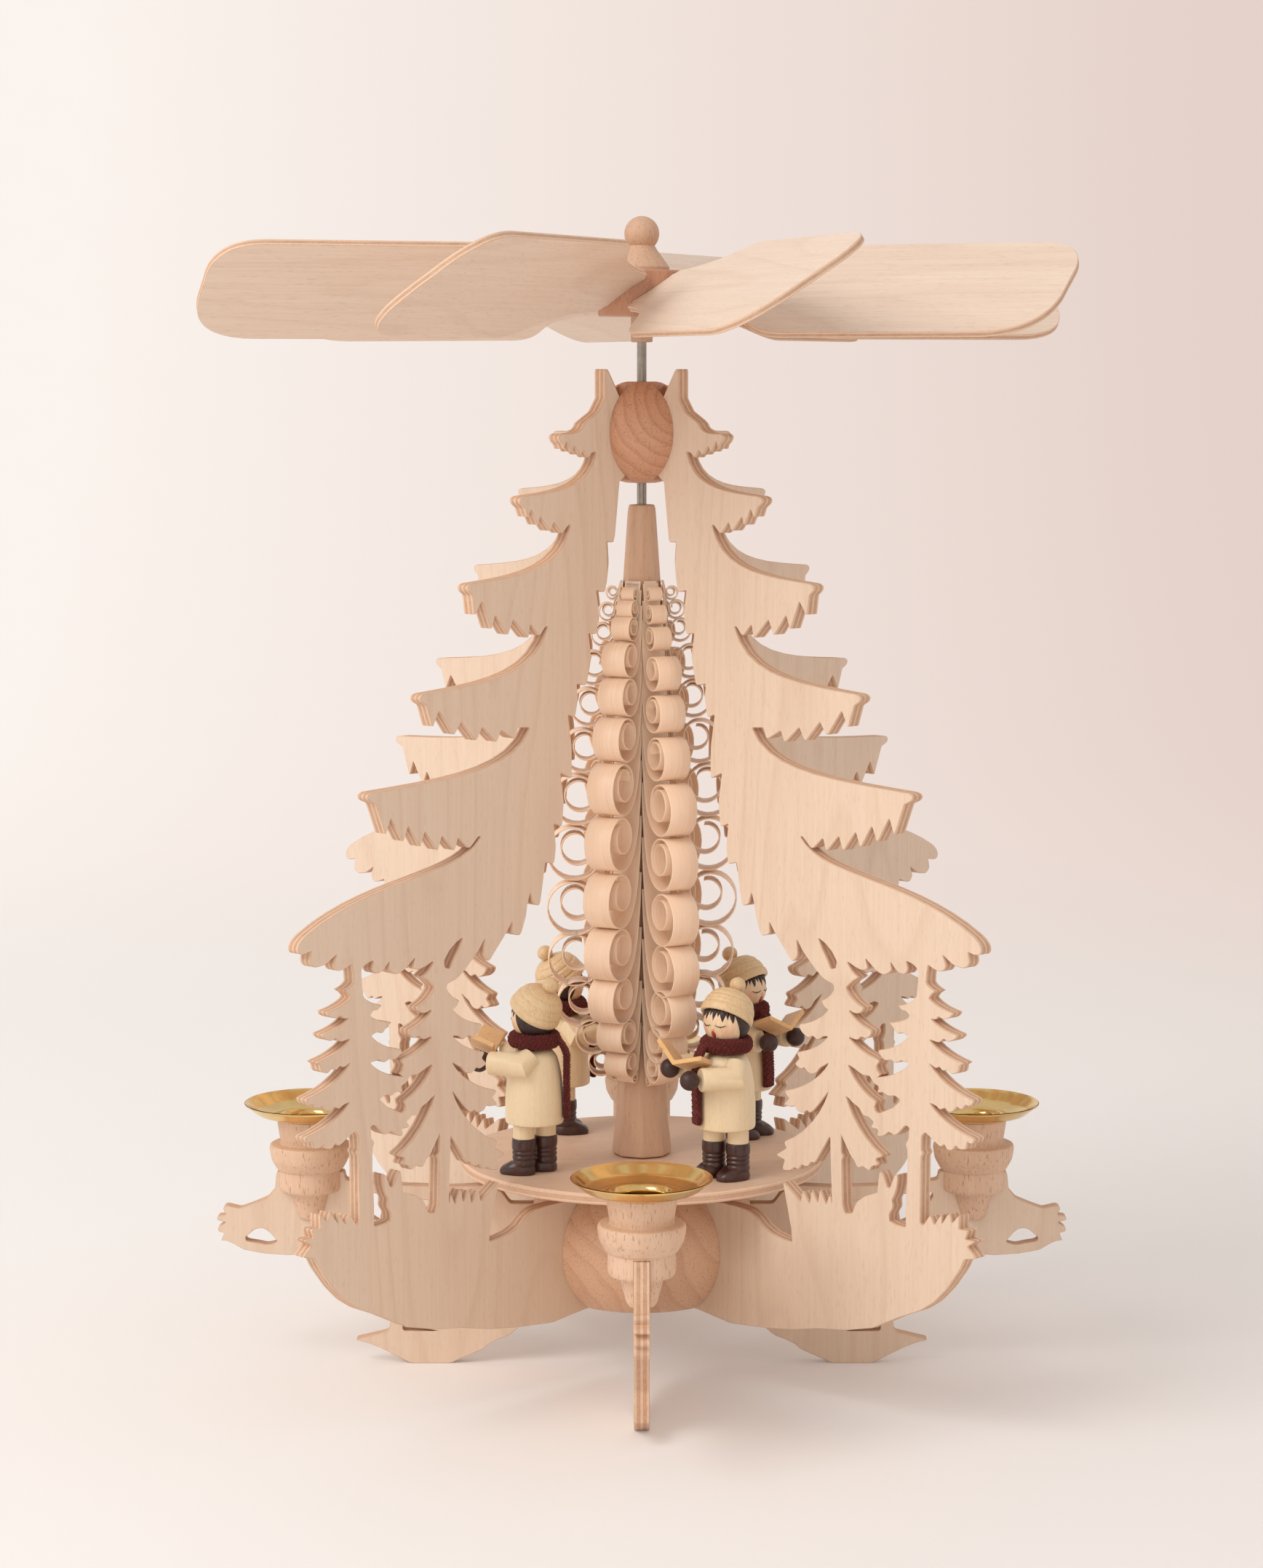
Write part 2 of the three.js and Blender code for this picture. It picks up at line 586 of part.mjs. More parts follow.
// Top ball with a bore for the bush
function topBall() {
  const profile = [
    [BUSH_RADIUS + SEAT_GAP, TOP_BALL_BOTTOM_Z],
    ...ballArc(TOP_BALL_RADIUS, TOP_BALL_CENTRE_Z, TOP_BALL_BOTTOM_Z, TOP_BALL_TOP_Z, 6),
    [BUSH_RADIUS + SEAT_GAP, TOP_BALL_TOP_Z],
    [BUSH_RADIUS + SEAT_GAP, TOP_BALL_BOTTOM_Z],
  ];
  const ball = solid(turned(profile, ROUND_TURNED));
  const inner = TOP_TONGUE_RADIUS - SEAT_GAP;
  return geometryOf(
    slotted(ball, PANEL_ANGLES, inner, TOP_BALL_RADIUS + 2, TOP_BALL_BOTTOM_Z - 1, TOP_BALL_TOP_Z + 1),
  );
}

addMesh(pyramid, 'top_ball', topBall(), BEECH);

const bushBottom = TOP_BALL_TOP_Z - BUSH_HEIGHT;
addMesh(pyramid, 'top_bush', turned([
  [SPINDLE_RADIUS + RUN_GAP, bushBottom],
  [BUSH_RADIUS, bushBottom],
  [BUSH_RADIUS, TOP_BALL_TOP_Z],
  [SPINDLE_RADIUS + RUN_GAP, TOP_BALL_TOP_Z],
  [SPINDLE_RADIUS + RUN_GAP, bushBottom],
], ROUND_SMALL), STEEL);

const pointZ = CUP_SEAT_Z + CUP_FLOOR + SEAT_GAP;
addMesh(pyramid, 'spindle', turned([
  [0, pointZ],
  [SPINDLE_RADIUS, pointZ + SPINDLE_POINT],
  [SPINDLE_RADIUS, SPINDLE_TOP_Z],
  [0, SPINDLE_TOP_Z],
], ROUND_SMALL), STEEL);

const spindleBore = SPINDLE_RADIUS + SEAT_GAP;
addMesh(pyramid, 'turntable', turned([
  [spindleBore, TABLE_BOTTOM_Z],
  [TABLE_RADIUS, TABLE_BOTTOM_Z],
  [TABLE_RADIUS, TABLE_TOP_Z],
  [spindleBore, TABLE_TOP_Z],
  [spindleBore, TABLE_BOTTOM_Z],
], ROUND_TABLE), BIRCH);

// One ribbon: a strip of four-cornered sections along points [radius, height, half width]
function ribbon(path, thickness) {
  const vertices = [];
  const faces = [];
  path.forEach(([r, z, half], i) => {
    const before = path[Math.max(i - 1, 0)];
    const after = path[Math.min(i + 1, path.length - 1)];
    const length = Math.hypot(after[0] - before[0], after[1] - before[1]);
    const nr = (-(after[1] - before[1]) / length) * (thickness / 2);
    const nz = ((after[0] - before[0]) / length) * (thickness / 2);
    vertices.push(r + nr, -half, z + nz, r - nr, -half, z - nz, r - nr, half, z - nz, r + nr, half, z + nz);
    if (i === 0) return;
    const base = 4 * (i - 1);
    for (let k = 0; k < 4; k += 1) {
      const next = (k + 1) % 4;
      faces.push(base + k, base + next, base + 4 + next, base + k, base + 4 + next, base + 4 + k);
    }
  });
  const end = 4 * (path.length - 1);
  faces.push(0, 2, 1, 0, 3, 2, end, end + 1, end + 2, end, end + 2, end + 3);
  const geometry = new THREE.BufferGeometry();
  geometry.setAttribute('position', new THREE.Float32BufferAttribute(vertices, 3));
  geometry.setIndex(faces);
  return geometry;
}

function curlSize(k) {
  const s = k / (CURLS_PER_COLUMN - 1);
  if (s < CURL_WIDEST_AT) {
    const rise = Math.sin((Math.PI / 2) * (s / CURL_WIDEST_AT)) ** 1.2;
    return mix(CURL_TOP_SIZE, CURL_WIDEST_SIZE, rise);
  }
  const fall = Math.cos((Math.PI / 2) * ((s - CURL_WIDEST_AT) / (1 - CURL_WIDEST_AT)));
  return mix(CURL_LAST_SIZE, CURL_WIDEST_SIZE, fall);
}

// A shaving leaves the trunk, runs down and out, and rolls up and over into itself
function curlPath(size, centreZ) {
  const radius = size / 2;
  const centre = TRUNK_RADIUS + radius + Math.max(CURL_REACH * size - 1.5, 0.6);
  const columnHalf = Math.tan(Math.PI / CURL_COLUMNS);
  const ribbonHalf = Math.min(CURL_RIBBON_MAX, 3 + 0.75 * size) / 2;
  const [first, step] = size < CURL_FINE_SIZE ? [250, 98] : [190, 84];
  const path = [[TRUNK_RADIUS - 1.2, centreZ + 1.75 * radius, CURL_ROOT_HALF]];
  for (let angle = first; angle <= 545; angle += step) {
    const shrink = radius * (1 - 0.42 * ((angle - 190) / 360)) - CURL_THICKNESS / 2;
    const r = centre + shrink * Math.cos(radians(angle));
    const z = centreZ + shrink * Math.sin(radians(angle));
    path.push([r, z, Math.min(ribbonHalf, columnHalf * r - 0.5)]);
  }
  return path;
}

function curlTree() {
  const bore = SPINDLE_RADIUS + SEAT_GAP;
  const trunk = solid(turned([
    [bore, DECK_Z],
    [TRUNK_FOOT_RADIUS, DECK_Z],
    [TRUNK_RADIUS + 0.8, DECK_Z + TRUNK_FOOT_HEIGHT],
    [TRUNK_RADIUS, TRUNK_TOP_Z - TRUNK_TAPER_HEIGHT],
    [TRUNK_TOP_RADIUS + 0.5, TRUNK_TOP_Z - 1],
    [TRUNK_TOP_RADIUS - 0.4, TRUNK_TOP_Z],
    [bore, TRUNK_TOP_Z],
    [bore, DECK_Z],
  ], CURL_COLUMNS));
  const natural = Array.from({ length: CURLS_PER_COLUMN }, (_, k) => curlSize(k));
  const stacked = natural.slice(1).reduce((sum, size, k) => sum + (size + natural[k]) / 2, 0);
  const fit = (CURL_FIRST_Z - CURL_LAST_Z) / stacked;
  const sizes = natural.map((size) => size * fit);
  const ribbons = [];
  let z = CURL_FIRST_Z;
  sizes.forEach((size, k) => {
    const shape = ribbon(curlPath(size, z), CURL_THICKNESS);
    for (let column = 0; column < CURL_COLUMNS; column += 1) {
      ribbons.push(solid(shape.clone().rotateZ(spokeTurn((column + 0.5) * (360 / CURL_COLUMNS)))));
    }
    if (k < sizes.length - 1) z -= (size + sizes[k + 1]) / 2;
  });
  return geometryOf(joined([trunk, ...ribbons]));
}

addMesh(pyramid, 'curl_tree', curlTree(), LIME);

// Blade outline in its own plane: along the spoke and across it
function bladeShape() {
  const shape = new THREE.Shape();
  const root = HUB_RADIUS + SEAT_GAP;
  shape.moveTo(BLADE_TONGUE_RADIUS, -BLADE_TONGUE_HALF);
  shape.lineTo(BLADE_TONGUE_RADIUS, BLADE_TONGUE_HALF);
  shape.lineTo(root, BLADE_TONGUE_HALF);
  shape.lineTo(root, BLADE_ROOT_UPPER);
  shape.quadraticCurveTo(45, 14.5, 56, BLADE_UPPER - 1);
  shape.lineTo(58.5, BLADE_UPPER);
  shape.lineTo(BLADE_TIP_RADIUS - 19, BLADE_UPPER);
  shape.quadraticCurveTo(BLADE_TIP_RADIUS - 1, BLADE_UPPER - 1, BLADE_TIP_RADIUS, BLADE_UPPER - 20);
  shape.quadraticCurveTo(BLADE_TIP_RADIUS - 1, 1 - BLADE_LOWER, BLADE_TIP_RADIUS - 25, -BLADE_LOWER);
  shape.lineTo(62, -BLADE_LOWER);
  shape.quadraticCurveTo(53, 1 - BLADE_LOWER, 46, -19.5);
  shape.quadraticCurveTo(36, -13.6, root, -BLADE_ROOT_LOWER);
  shape.lineTo(root, -BLADE_TONGUE_HALF);
  return shape;
}

// Tilt about the spoke, so that the upper edge leads towards growing spoke angles
const bladeTurn = new THREE.Matrix4().makeRotationX(radians(BLADE_TILT));

function tilted(geometry, angle) {
  const place = new THREE.Matrix4().makeRotationZ(spokeTurn(angle));
  return geometry.clone().applyMatrix4(place.multiply(bladeTurn)).translate(0, 0, HUB_MIDDLE_Z);
}

function rotorHub() {
  const bore = SPINDLE_RADIUS + SEAT_GAP;
  const ballCentre = HUB_TOP_Z + FINIAL_NECK_HEIGHT + Math.sqrt(FINIAL_BALL_RADIUS ** 2 - FINIAL_NECK_RADIUS ** 2);
  const body = solid(turned([
    [bore, HUB_BOTTOM_Z - BOSS_HEIGHT],
    [BOSS_RADIUS, HUB_BOTTOM_Z - BOSS_HEIGHT],
    [BOSS_RADIUS, HUB_BOTTOM_Z],
    [HUB_RADIUS, HUB_BOTTOM_Z],
    [HUB_RADIUS, HUB_TOP_Z],
    [FINIAL_SKIRT_RADIUS, HUB_TOP_Z],
    [FINIAL_SKIRT_RADIUS - 0.6, HUB_TOP_Z + 1.4],
    [mix(FINIAL_SKIRT_RADIUS, FINIAL_NECK_RADIUS, 0.55), HUB_TOP_Z + FINIAL_NECK_HEIGHT / 2],
    ...ballArc(FINIAL_BALL_RADIUS, ballCentre, HUB_TOP_Z + FINIAL_NECK_HEIGHT, ballCentre + FINIAL_BALL_RADIUS, 4),
    [0, SPINDLE_TOP_Z + SEAT_GAP],
    [bore, SPINDLE_TOP_Z + SEAT_GAP],
    [bore, HUB_BOTTOM_Z - BOSS_HEIGHT],
  ], ROUND_TURNED));
  const depth = HUB_RADIUS + 4 - BLADE_TONGUE_RADIUS + SEAT_GAP;
  const slot = new THREE.BoxGeometry(depth, 2 * (BLADE_TONGUE_HALF + SEAT_GAP), BLADE_PLY + 2 * SEAT_GAP)
    .translate(BLADE_TONGUE_RADIUS - SEAT_GAP + depth / 2, 0, 0);
  let hub = body;
  for (let k = 0; k < BLADE_COUNT; k += 1) {
    hub = hub.subtract(solid(tilted(slot, BLADE_FIRST_ANGLE + (k * 360) / BLADE_COUNT)));
  }
  return geometryOf(hub);
}

addMesh(pyramid, 'rotor_hub', rotorHub(), BEECH);

const bladeSheet = new THREE.ExtrudeGeometry(bladeShape(), {
  depth: BLADE_PLY,
  bevelEnabled: false,
  curveSegments: CURVE_STEPS,
}).translate(0, 0, -BLADE_PLY / 2);
for (let k = 0; k < BLADE_COUNT; k += 1) {
  const angle = BLADE_FIRST_ANGLE + (k * 360) / BLADE_COUNT;
  addMesh(pyramid, `blade_${k + 1}`, tilted(bladeSheet, angle), BIRCH);
}

// Turned coat with a recess below for the hips
const coatSide = (grow) => [
  [COAT_RADIUS + grow, HEM_Z - grow],
  [COAT_RADIUS + grow, HEM_Z + 8],
  [mix(COAT_RADIUS, COAT_SHOULDER_RADIUS, 0.6) + grow, COAT_WAIST_Z],
  [COAT_SHOULDER_RADIUS + grow, COAT_TOP_Z - 3.6],
  [COAT_COLLAR_RADIUS + grow, COAT_TOP_Z + grow],
];

const coat = turned([
  [HIP_RECESS_RADIUS, HEM_Z],
  ...coatSide(0),
  [0, COAT_TOP_Z],
  [0, HEM_Z + HIP_HEIGHT + SEAT_GAP],
  [HIP_RECESS_RADIUS, HEM_Z + HIP_HEIGHT + SEAT_GAP],
  [HIP_RECESS_RADIUS, HEM_Z],
], ROUND_SMALL);
const coatKeepOut = solid(turned([
  [0, HEM_Z - SEAT_GAP],
  ...coatSide(SEAT_GAP),
  [0, COAT_TOP_Z + SEAT_GAP],
], ROUND_SMALL));

// Both legs stand in one hip disc under the coat
function legsSolid() {
  const waist = HEM_Z - 2 * SEAT_GAP;
  const parts = [solid(turned([
    [0, waist],
    [HIP_RADIUS, waist],
    [HIP_RADIUS, HEM_Z + HIP_HEIGHT],
    [0, HEM_Z + HIP_HEIGHT],
  ], ROUND_FINE))];
  const leg = turned([
    [0, 0],
    [BOOT_RADIUS, 0],
    [BOOT_RADIUS, BOOT_HEIGHT],
    [LEG_RADIUS, BOOT_HEIGHT + 0.3],
    [LEG_RADIUS, HEM_Z - SEAT_GAP],
    [0, HEM_Z - SEAT_GAP],
  ], ROUND_LEG);
  const toe = new THREE.Shape();
  const half = BOOT_RADIUS + 0.2;
  const front = BOOT_RADIUS - SHOE_LENGTH;
  toe.moveTo(-half, BOOT_RADIUS * 0.4);
  toe.lineTo(half, BOOT_RADIUS * 0.4);
  toe.lineTo(half, front * 0.55);
  toe.quadraticCurveTo(half, front, 0, front);
  toe.quadraticCurveTo(-half, front, -half, front * 0.55);
  const shoe = new THREE.ExtrudeGeometry(toe, { depth: SHOE_HEIGHT, bevelEnabled: false, curveSegments: 1 });
  for (const side of [-1, 1]) {
    const x = (side * LEG_SPACING) / 2;
    parts.push(solid(leg.clone().translate(x, 0, 0)), solid(shoe.clone().translate(x, 0, 0)));
  }
  return joined(parts);
}

// Head with its neck, cap and pompom as one piece
function headSolid() {
  const low = COAT_TOP_Z + SEAT_GAP;
  const chin = HEAD_CENTRE_Z - Math.sqrt(HEAD_RADIUS ** 2 - NECK_RADIUS ** 2);
  const crown = HEAD_CENTRE_Z + HEAD_RADIUS * 0.7;
  const head = solid(turned([
    [0, low],
    [NECK_RADIUS, low],
    ...ballArc(HEAD_RADIUS, HEAD_CENTRE_Z, chin, crown, 4),
    [0, crown],
  ], ROUND_SMALL));
  const cap = turned([
    [0, -1],
    [HAT_RADIUS, -1],
    [HAT_RADIUS, 1.4],
    [HAT_RADIUS * 0.88, HAT_HEIGHT * 0.55],
    [HAT_RADIUS * 0.5, HAT_HEIGHT * 0.88],
    [POMPOM_RADIUS * 0.55, HAT_HEIGHT],
    [POMPOM_RADIUS, HAT_HEIGHT + POMPOM_RADIUS * 0.8],
    [POMPOM_RADIUS * 0.6, HAT_HEIGHT + POMPOM_RADIUS * 1.6],
    [0, HAT_HEIGHT + POMPOM_RADIUS * 1.75],
  ], ROUND_SMALL).rotateX(radians(-HAT_TILT)).translate(0, 0, HEAD_CENTRE_Z + 2.2);
  return head.add(solid(cap));
}

// Sleeve that bends at the elbow and ends in a ball mitten
function armSolid(side) {
  const elbow = new THREE.Vector3(side * ELBOW_RADIUS, -ELBOW_FORWARD, SLEEVE_Z);
  const shoulder = new THREE.Vector3(side * (COAT_SHOULDER_RADIUS - 0.4), -0.5, COAT_TOP_Z - 3);
  const forearm = turned([
    [0, -2.4],
    [SLEEVE_RADIUS, -2.4],
    [SLEEVE_RADIUS, SLEEVE_LENGTH],
    [MITTEN_RADIUS * 0.7, SLEEVE_LENGTH],
    [MITTEN_RADIUS, MITTEN_REACH],
    [MITTEN_RADIUS * 0.6, MITTEN_REACH + MITTEN_RADIUS * 0.8],
    [0, MITTEN_REACH + MITTEN_RADIUS * 0.95],
  ], ROUND_FINE)
    .rotateX(Math.PI / 2)
    .rotateZ(radians(-side * SLEEVE_INWARD))
    .translate(elbow.x, elbow.y, elbow.z);
  const round = new THREE.Shape().absarc(0, 0, SLEEVE_RADIUS - 0.1, 0, 2 * Math.PI);
  const upper = new THREE.ExtrudeGeometry(round, {
    steps: 1,
    extrudePath: new THREE.LineCurve3(elbow, shoulder),
    curveSegments: 3,
  });
  return solid(forearm).add(solid(upper)).subtract(coatKeepOut);
}

// Scarf: a band round the neck and one end that hangs in front of the coat
function scarfSolid() {
  const low = COAT_TOP_Z + SEAT_GAP;
  const top = low + SCARF_HEIGHT;
  const band = solid(turned([
    [NECK_RADIUS + 0.7, low],
    [SCARF_RADIUS - 1.2, low],
    [SCARF_RADIUS, low + SCARF_HEIGHT / 2],
    [SCARF_RADIUS - 1.2, top],
    [NECK_RADIUS + 3.6, top],
    [NECK_RADIUS + 0.7, low],
  ], ROUND_SMALL));
  const reach = COAT_RADIUS + SEAT_GAP;
  const end = new THREE.BoxGeometry(SCARF_END_WIDTH, SCARF_THICKNESS, SCARF_END_LENGTH)
    .translate(0, -reach - SCARF_THICKNESS / 2, low + SCARF_HEIGHT * 0.7 - SCARF_END_LENGTH / 2);
  const bridge = new THREE.BoxGeometry(SCARF_END_WIDTH, 4, SCARF_THICKNESS)
    .translate(0, -reach, low + SCARF_HEIGHT * 0.7 - SCARF_THICKNESS / 2);
  return joined([band, solid(bridge), solid(end)]);
}

// Open book: two leaves in a shallow V, resting above the mittens
function bookGeometry() {
  const shape = outline([
    [0, 0],
    [BOOK_LEAF, BOOK_RISE],
    [BOOK_LEAF - BOOK_THICKNESS * 0.4, BOOK_RISE + BOOK_THICKNESS],
    [0, BOOK_THICKNESS * 1.3],
    [BOOK_THICKNESS * 0.4 - BOOK_LEAF, BOOK_RISE + BOOK_THICKNESS],
    [-BOOK_LEAF, BOOK_RISE],
  ]);
  return plate(shape, BOOK_DEPTH).rotateX(radians(-BOOK_TILT)).translate(0, -BOOK_FORWARD, SLEEVE_Z + BOOK_LIFT);
}

const legs = geometryOf(legsSolid());
const head = geometryOf(headSolid());
const armLeft = geometryOf(armSolid(1));
const armRight = geometryOf(armSolid(-1));
const scarf = geometryOf(scarfSolid());
const book = bookGeometry();

const carolerRadius = TABLE_RADIUS - CAROLER_INSET;
CAROLERS.forEach((caroler, k) => {
  const place = new THREE.Group();
  place.position.set(
    carolerRadius * Math.sin(radians(caroler.angle)),
    -carolerRadius * Math.cos(radians(caroler.angle)),
    DECK_Z,
  );
  place.rotation.z = radians(caroler.body);
  pyramid.add(place);
  const name = `caroler_${k + 1}`;
  addMesh(place, `${name}_coat`, coat, MAPLE);
  addMesh(place, `${name}_boots`, legs, LEATHER_PAINT).rotation.z = radians(caroler.feet - caroler.body);
  addMesh(place, `${name}_head`, head, MAPLE).rotation.z = radians(caroler.head - caroler.body);
  addMesh(place, `${name}_arm_left`, armLeft, MAPLE);
  addMesh(place, `${name}_arm_right`, armRight, MAPLE);
  addMesh(place, `${name}_scarf`, scarf, WOOL).rotation.z = radians(caroler.scarf);
  addMesh(place, `${name}_book`, book, BIRCH);
});

export default pyramid;
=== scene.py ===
"""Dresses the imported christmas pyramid: plywood trees and arms, turned wood, curls, figures and brass."""

import logging
import random
from dataclasses import dataclass
from enum import Enum
from math import acos, asin, copysign, cos, dist, pi, radians, sin, sqrt, tan
from typing import Callable, Protocol, Sequence

import bmesh
import bpy
from mathutils import Matrix, Vector
from mathutils.geometry import delaunay_2d_cdt


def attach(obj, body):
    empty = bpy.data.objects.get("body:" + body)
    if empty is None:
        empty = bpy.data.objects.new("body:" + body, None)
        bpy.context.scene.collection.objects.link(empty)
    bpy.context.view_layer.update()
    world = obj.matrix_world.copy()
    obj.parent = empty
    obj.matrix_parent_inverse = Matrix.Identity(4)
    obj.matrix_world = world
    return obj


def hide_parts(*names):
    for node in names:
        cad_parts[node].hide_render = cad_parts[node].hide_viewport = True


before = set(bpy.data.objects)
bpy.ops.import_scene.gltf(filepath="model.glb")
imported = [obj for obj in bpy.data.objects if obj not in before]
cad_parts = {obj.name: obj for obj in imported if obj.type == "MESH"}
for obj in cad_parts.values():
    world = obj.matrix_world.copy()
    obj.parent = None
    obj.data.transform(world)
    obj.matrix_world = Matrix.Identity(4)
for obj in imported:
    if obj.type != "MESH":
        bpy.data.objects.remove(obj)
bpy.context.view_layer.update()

LOG = logging.getLogger("pyramid")
MM = 0.001
Point = tuple[float, float]
Line = tuple[Point, ...]
Triple = tuple[float, float, float]
Colour = Triple
Form = bmesh.types.BMesh
Ring = list[bmesh.types.BMVert]
Thing = bpy.types.Object
Material = bpy.types.Material
Socket = bpy.types.NodeSocket

# The right front panel was glued in a little askew.
PANEL_ANGLES = (-45.0, 44.2, 135.0, -135.0)
ARM_ANGLES = (0.0, 90.0, 180.0, -90.0)
DECK_TOP = 80.8
SHEET = 5.5
BLADE_SHEET = 2.4
AXLE_BORE = 2.05


class Body(str, Enum):
    """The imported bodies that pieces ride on."""

    STAND = "stand"
    CAROUSEL = "carousel"
    ROTOR = "rotor"
    TRAY_1 = "tray_1"
    TRAY_2 = "tray_2"
    TRAY_3 = "tray_3"
    TRAY_4 = "tray_4"


class Slot(str, Enum):
    """The record's materials."""

    BIRCH = "birch_plywood"
    BEECH = "turned_beech"
    BRASS = "brass_sheet"
    STEEL = "steel"
    TABLE = "turntable_plywood"
    SHAVINGS = "lime_shavings"
    BLADES = "blade_plywood"
    MAPLE = "figure_maple"
    PAINT = "boot_paint"
    BOOK = "book_wood"
    WOOL = "scarf_wool"


class Grain(Enum):
    """The axis of a piece along which its wood fibres run."""

    ALONG_X = 0
    ALONG_Y = 1
    ALONG_Z = 2


def srgb(red: int, green: int, blue: int) -> Colour:
    """Turns a colour as seen on a screen into the linear one that shaders take.

    Args:
        red: Red from 0 to 255.
        green: Green from 0 to 255.
        blue: Blue from 0 to 255.

    Returns:
        The linear colour.
    """
    def linear(value: int) -> float:
        """Gives one channel's linear value."""
        part = value / 255
        return part / 12.92 if part <= 0.04045 else ((part + 0.055) / 1.055) ** 2.4

    return linear(red), linear(green), linear(blue)


class Shader:
    """Lays out the nodes of one material around a Principled surface."""

    def __init__(self, name: str) -> None:
        """Starts an empty material.

        Args:
            name: The material's name.
        """
        self.material = bpy.data.materials.new(name)
        self.material.use_nodes = True
        self.tree = self.material.node_tree
        self.tree.nodes.clear()
        self.output = self.add("ShaderNodeOutputMaterial")
        self.surface = self.add("ShaderNodeBsdfPrincipled")
        self.join(self.surface.outputs[0], self.output.inputs[0])

    def add(self, kind: str, **settings: object) -> bpy.types.Node:
        """Adds a node.

        Args:
            kind: The node's type.
            **settings: Properties to set on it.

        Returns:
            The new node.
        """
        node = self.tree.nodes.new(kind)
        for key, value in settings.items():
            setattr(node, key, value)
        return node

    def join(self, source: Socket, target: Socket) -> None:
        """Links two sockets."""
        self.tree.links.new(source, target)

    def feed(self, target: Socket, value: object) -> None:
        """Links a socket or sets a constant on it.

        Args:
            target: The input to fill.
            value: An output socket, a number, a colour or a vector.
        """
        if isinstance(value, Socket):
            self.join(value, target)
        elif isinstance(value, tuple) and target.type == "RGBA":
            target.default_value = (*value[:3], 1.0)
        else:
            target.default_value = value

    def set(self, name: str, value: object) -> None:
        """Fills one input of the Principled surface."""
        self.feed(self.surface.inputs[name], value)

    def millimetres(self, seed: int = 0) -> Socket:
        """Gives the piece's own coordinates in millimetres.

        Args:
            seed: Moves the pattern, so that pieces of one stock differ.

        Returns:
            The vector output.
        """
        place = self.add("ShaderNodeTexCoord")
        scale = self.add("ShaderNodeMapping")
        scale.inputs["Scale"].default_value = (1000, 1000, 1000)
        scale.inputs["Location"].default_value = (seed * 61.7, seed * 23.9, seed * 47.3)
        self.join(place.outputs["Object"], scale.inputs["Vector"])
        return scale.outputs[0]

    def mapped(self, vector: Socket, scale: Sequence[float], move: Sequence[float] = (0, 0, 0)) -> Socket:
        """Scales and moves a vector.

        Args:
            vector: The vector to change.
            scale: Scale on each axis.
            move: Offset after the scale.

        Returns:
            The changed vector.
        """
        node = self.add("ShaderNodeMapping")
        node.inputs["Scale"].default_value = tuple(scale)
        node.inputs["Location"].default_value = tuple(move)
        self.join(vector, node.inputs["Vector"])
        return node.outputs[0]

    def noise(self, vector: Socket, scale: float, detail: float = 2.0,
              roughness: float = 0.5, distortion: float = 0.0) -> Socket:
        """Adds a noise pattern.

        Args:
            vector: Where it is looked up.
            scale: How fine it is.
            detail: How many finer layers it has.
            roughness: How strong those are.
            distortion: How much it swirls.

        Returns:
            Its value.
        """
        node = self.add("ShaderNodeTexNoise")
        self.join(vector, node.inputs["Vector"])
        for name, value in (("Scale", scale), ("Detail", detail), ("Roughness", roughness),
                            ("Distortion", distortion)):
            node.inputs[name].default_value = value
        return node.outputs[0]

    def calc(self, kind: str, first: object, second: object = 0.0) -> Socket:
        """Adds a Math node.

        Args:
            kind: Its operation.
            first: Its first value or socket.
            second: Its second value or socket.

        Returns:
            Its value.
        """
        node = self.add("ShaderNodeMath", operation=kind)
        self.feed(node.inputs[0], first)
        self.feed(node.inputs[1], second)
        return node.outputs[0]

    def times(self, first: object, second: object) -> Socket:
        """Multiplies two values or sockets."""
        return self.calc("MULTIPLY", first, second)

    def length(self, vector: Socket) -> Socket:
        """Gives the length of a vector.

        Args:
            vector: The vector.

        Returns:
            Its length.
        """
        node = self.add("ShaderNodeVectorMath", operation="LENGTH")
        self.join(vector, node.inputs[0])
        return node.outputs["Value"]

    def band(self, value: Socket, stops: Sequence[Point]) -> Socket:
        """Maps a value through a grey ramp.

        Args:
            value: The value, from 0 to 1.
            stops: Pairs of place and grey.

        Returns:
            The grey as a colour output.
        """
        node = self.add("ShaderNodeValToRGB")
        marks = node.color_ramp.elements
        while len(marks) < len(stops):
            marks.new(0.5)
        for mark, (place, grey) in zip(marks, sorted(stops)):
            mark.position = place
            mark.color = (grey, grey, grey, 1)
        self.join(value, node.inputs[0])
        return node.outputs[0]

    def blend(self, amount: object, first: object, second: object, kind: str = "MIX") -> Socket:
        """Mixes two colours.

        Args:
            amount: How much of the second.
            first: A colour or socket.
            second: A colour or socket.
            kind: The blend type.

        Returns:
            The mixed colour.
        """
        node = self.add("ShaderNodeMix", data_type="RGBA", blend_type=kind)
        self.feed(node.inputs[0], amount)
        self.feed(node.inputs[6], first)
        self.feed(node.inputs[7], second)
        return node.outputs[2]

    def part(self, vector: Socket, axis: int) -> Socket:
        """Gives one component of a vector.

        Args:
            vector: The vector.
            axis: 0 for X, 1 for Y or 2 for Z.

        Returns:
            The component.
        """
        node = self.add("ShaderNodeSeparateXYZ")
        self.join(vector, node.inputs[0])
        return node.outputs[axis]

    def uneven(self, pattern: Socket, low: float, high: float) -> None:
        """Lets the roughness follow a pattern.

        Args:
            pattern: The pattern, from 0 to 1.
            low: The roughness where it is 0.
            high: The roughness where it is 1.
        """
        node = self.add("ShaderNodeMapRange")
        self.join(pattern, node.inputs[0])
        self.feed(node.inputs[3], low)
        self.feed(node.inputs[4], high)
        self.set("Roughness", node.outputs[0])

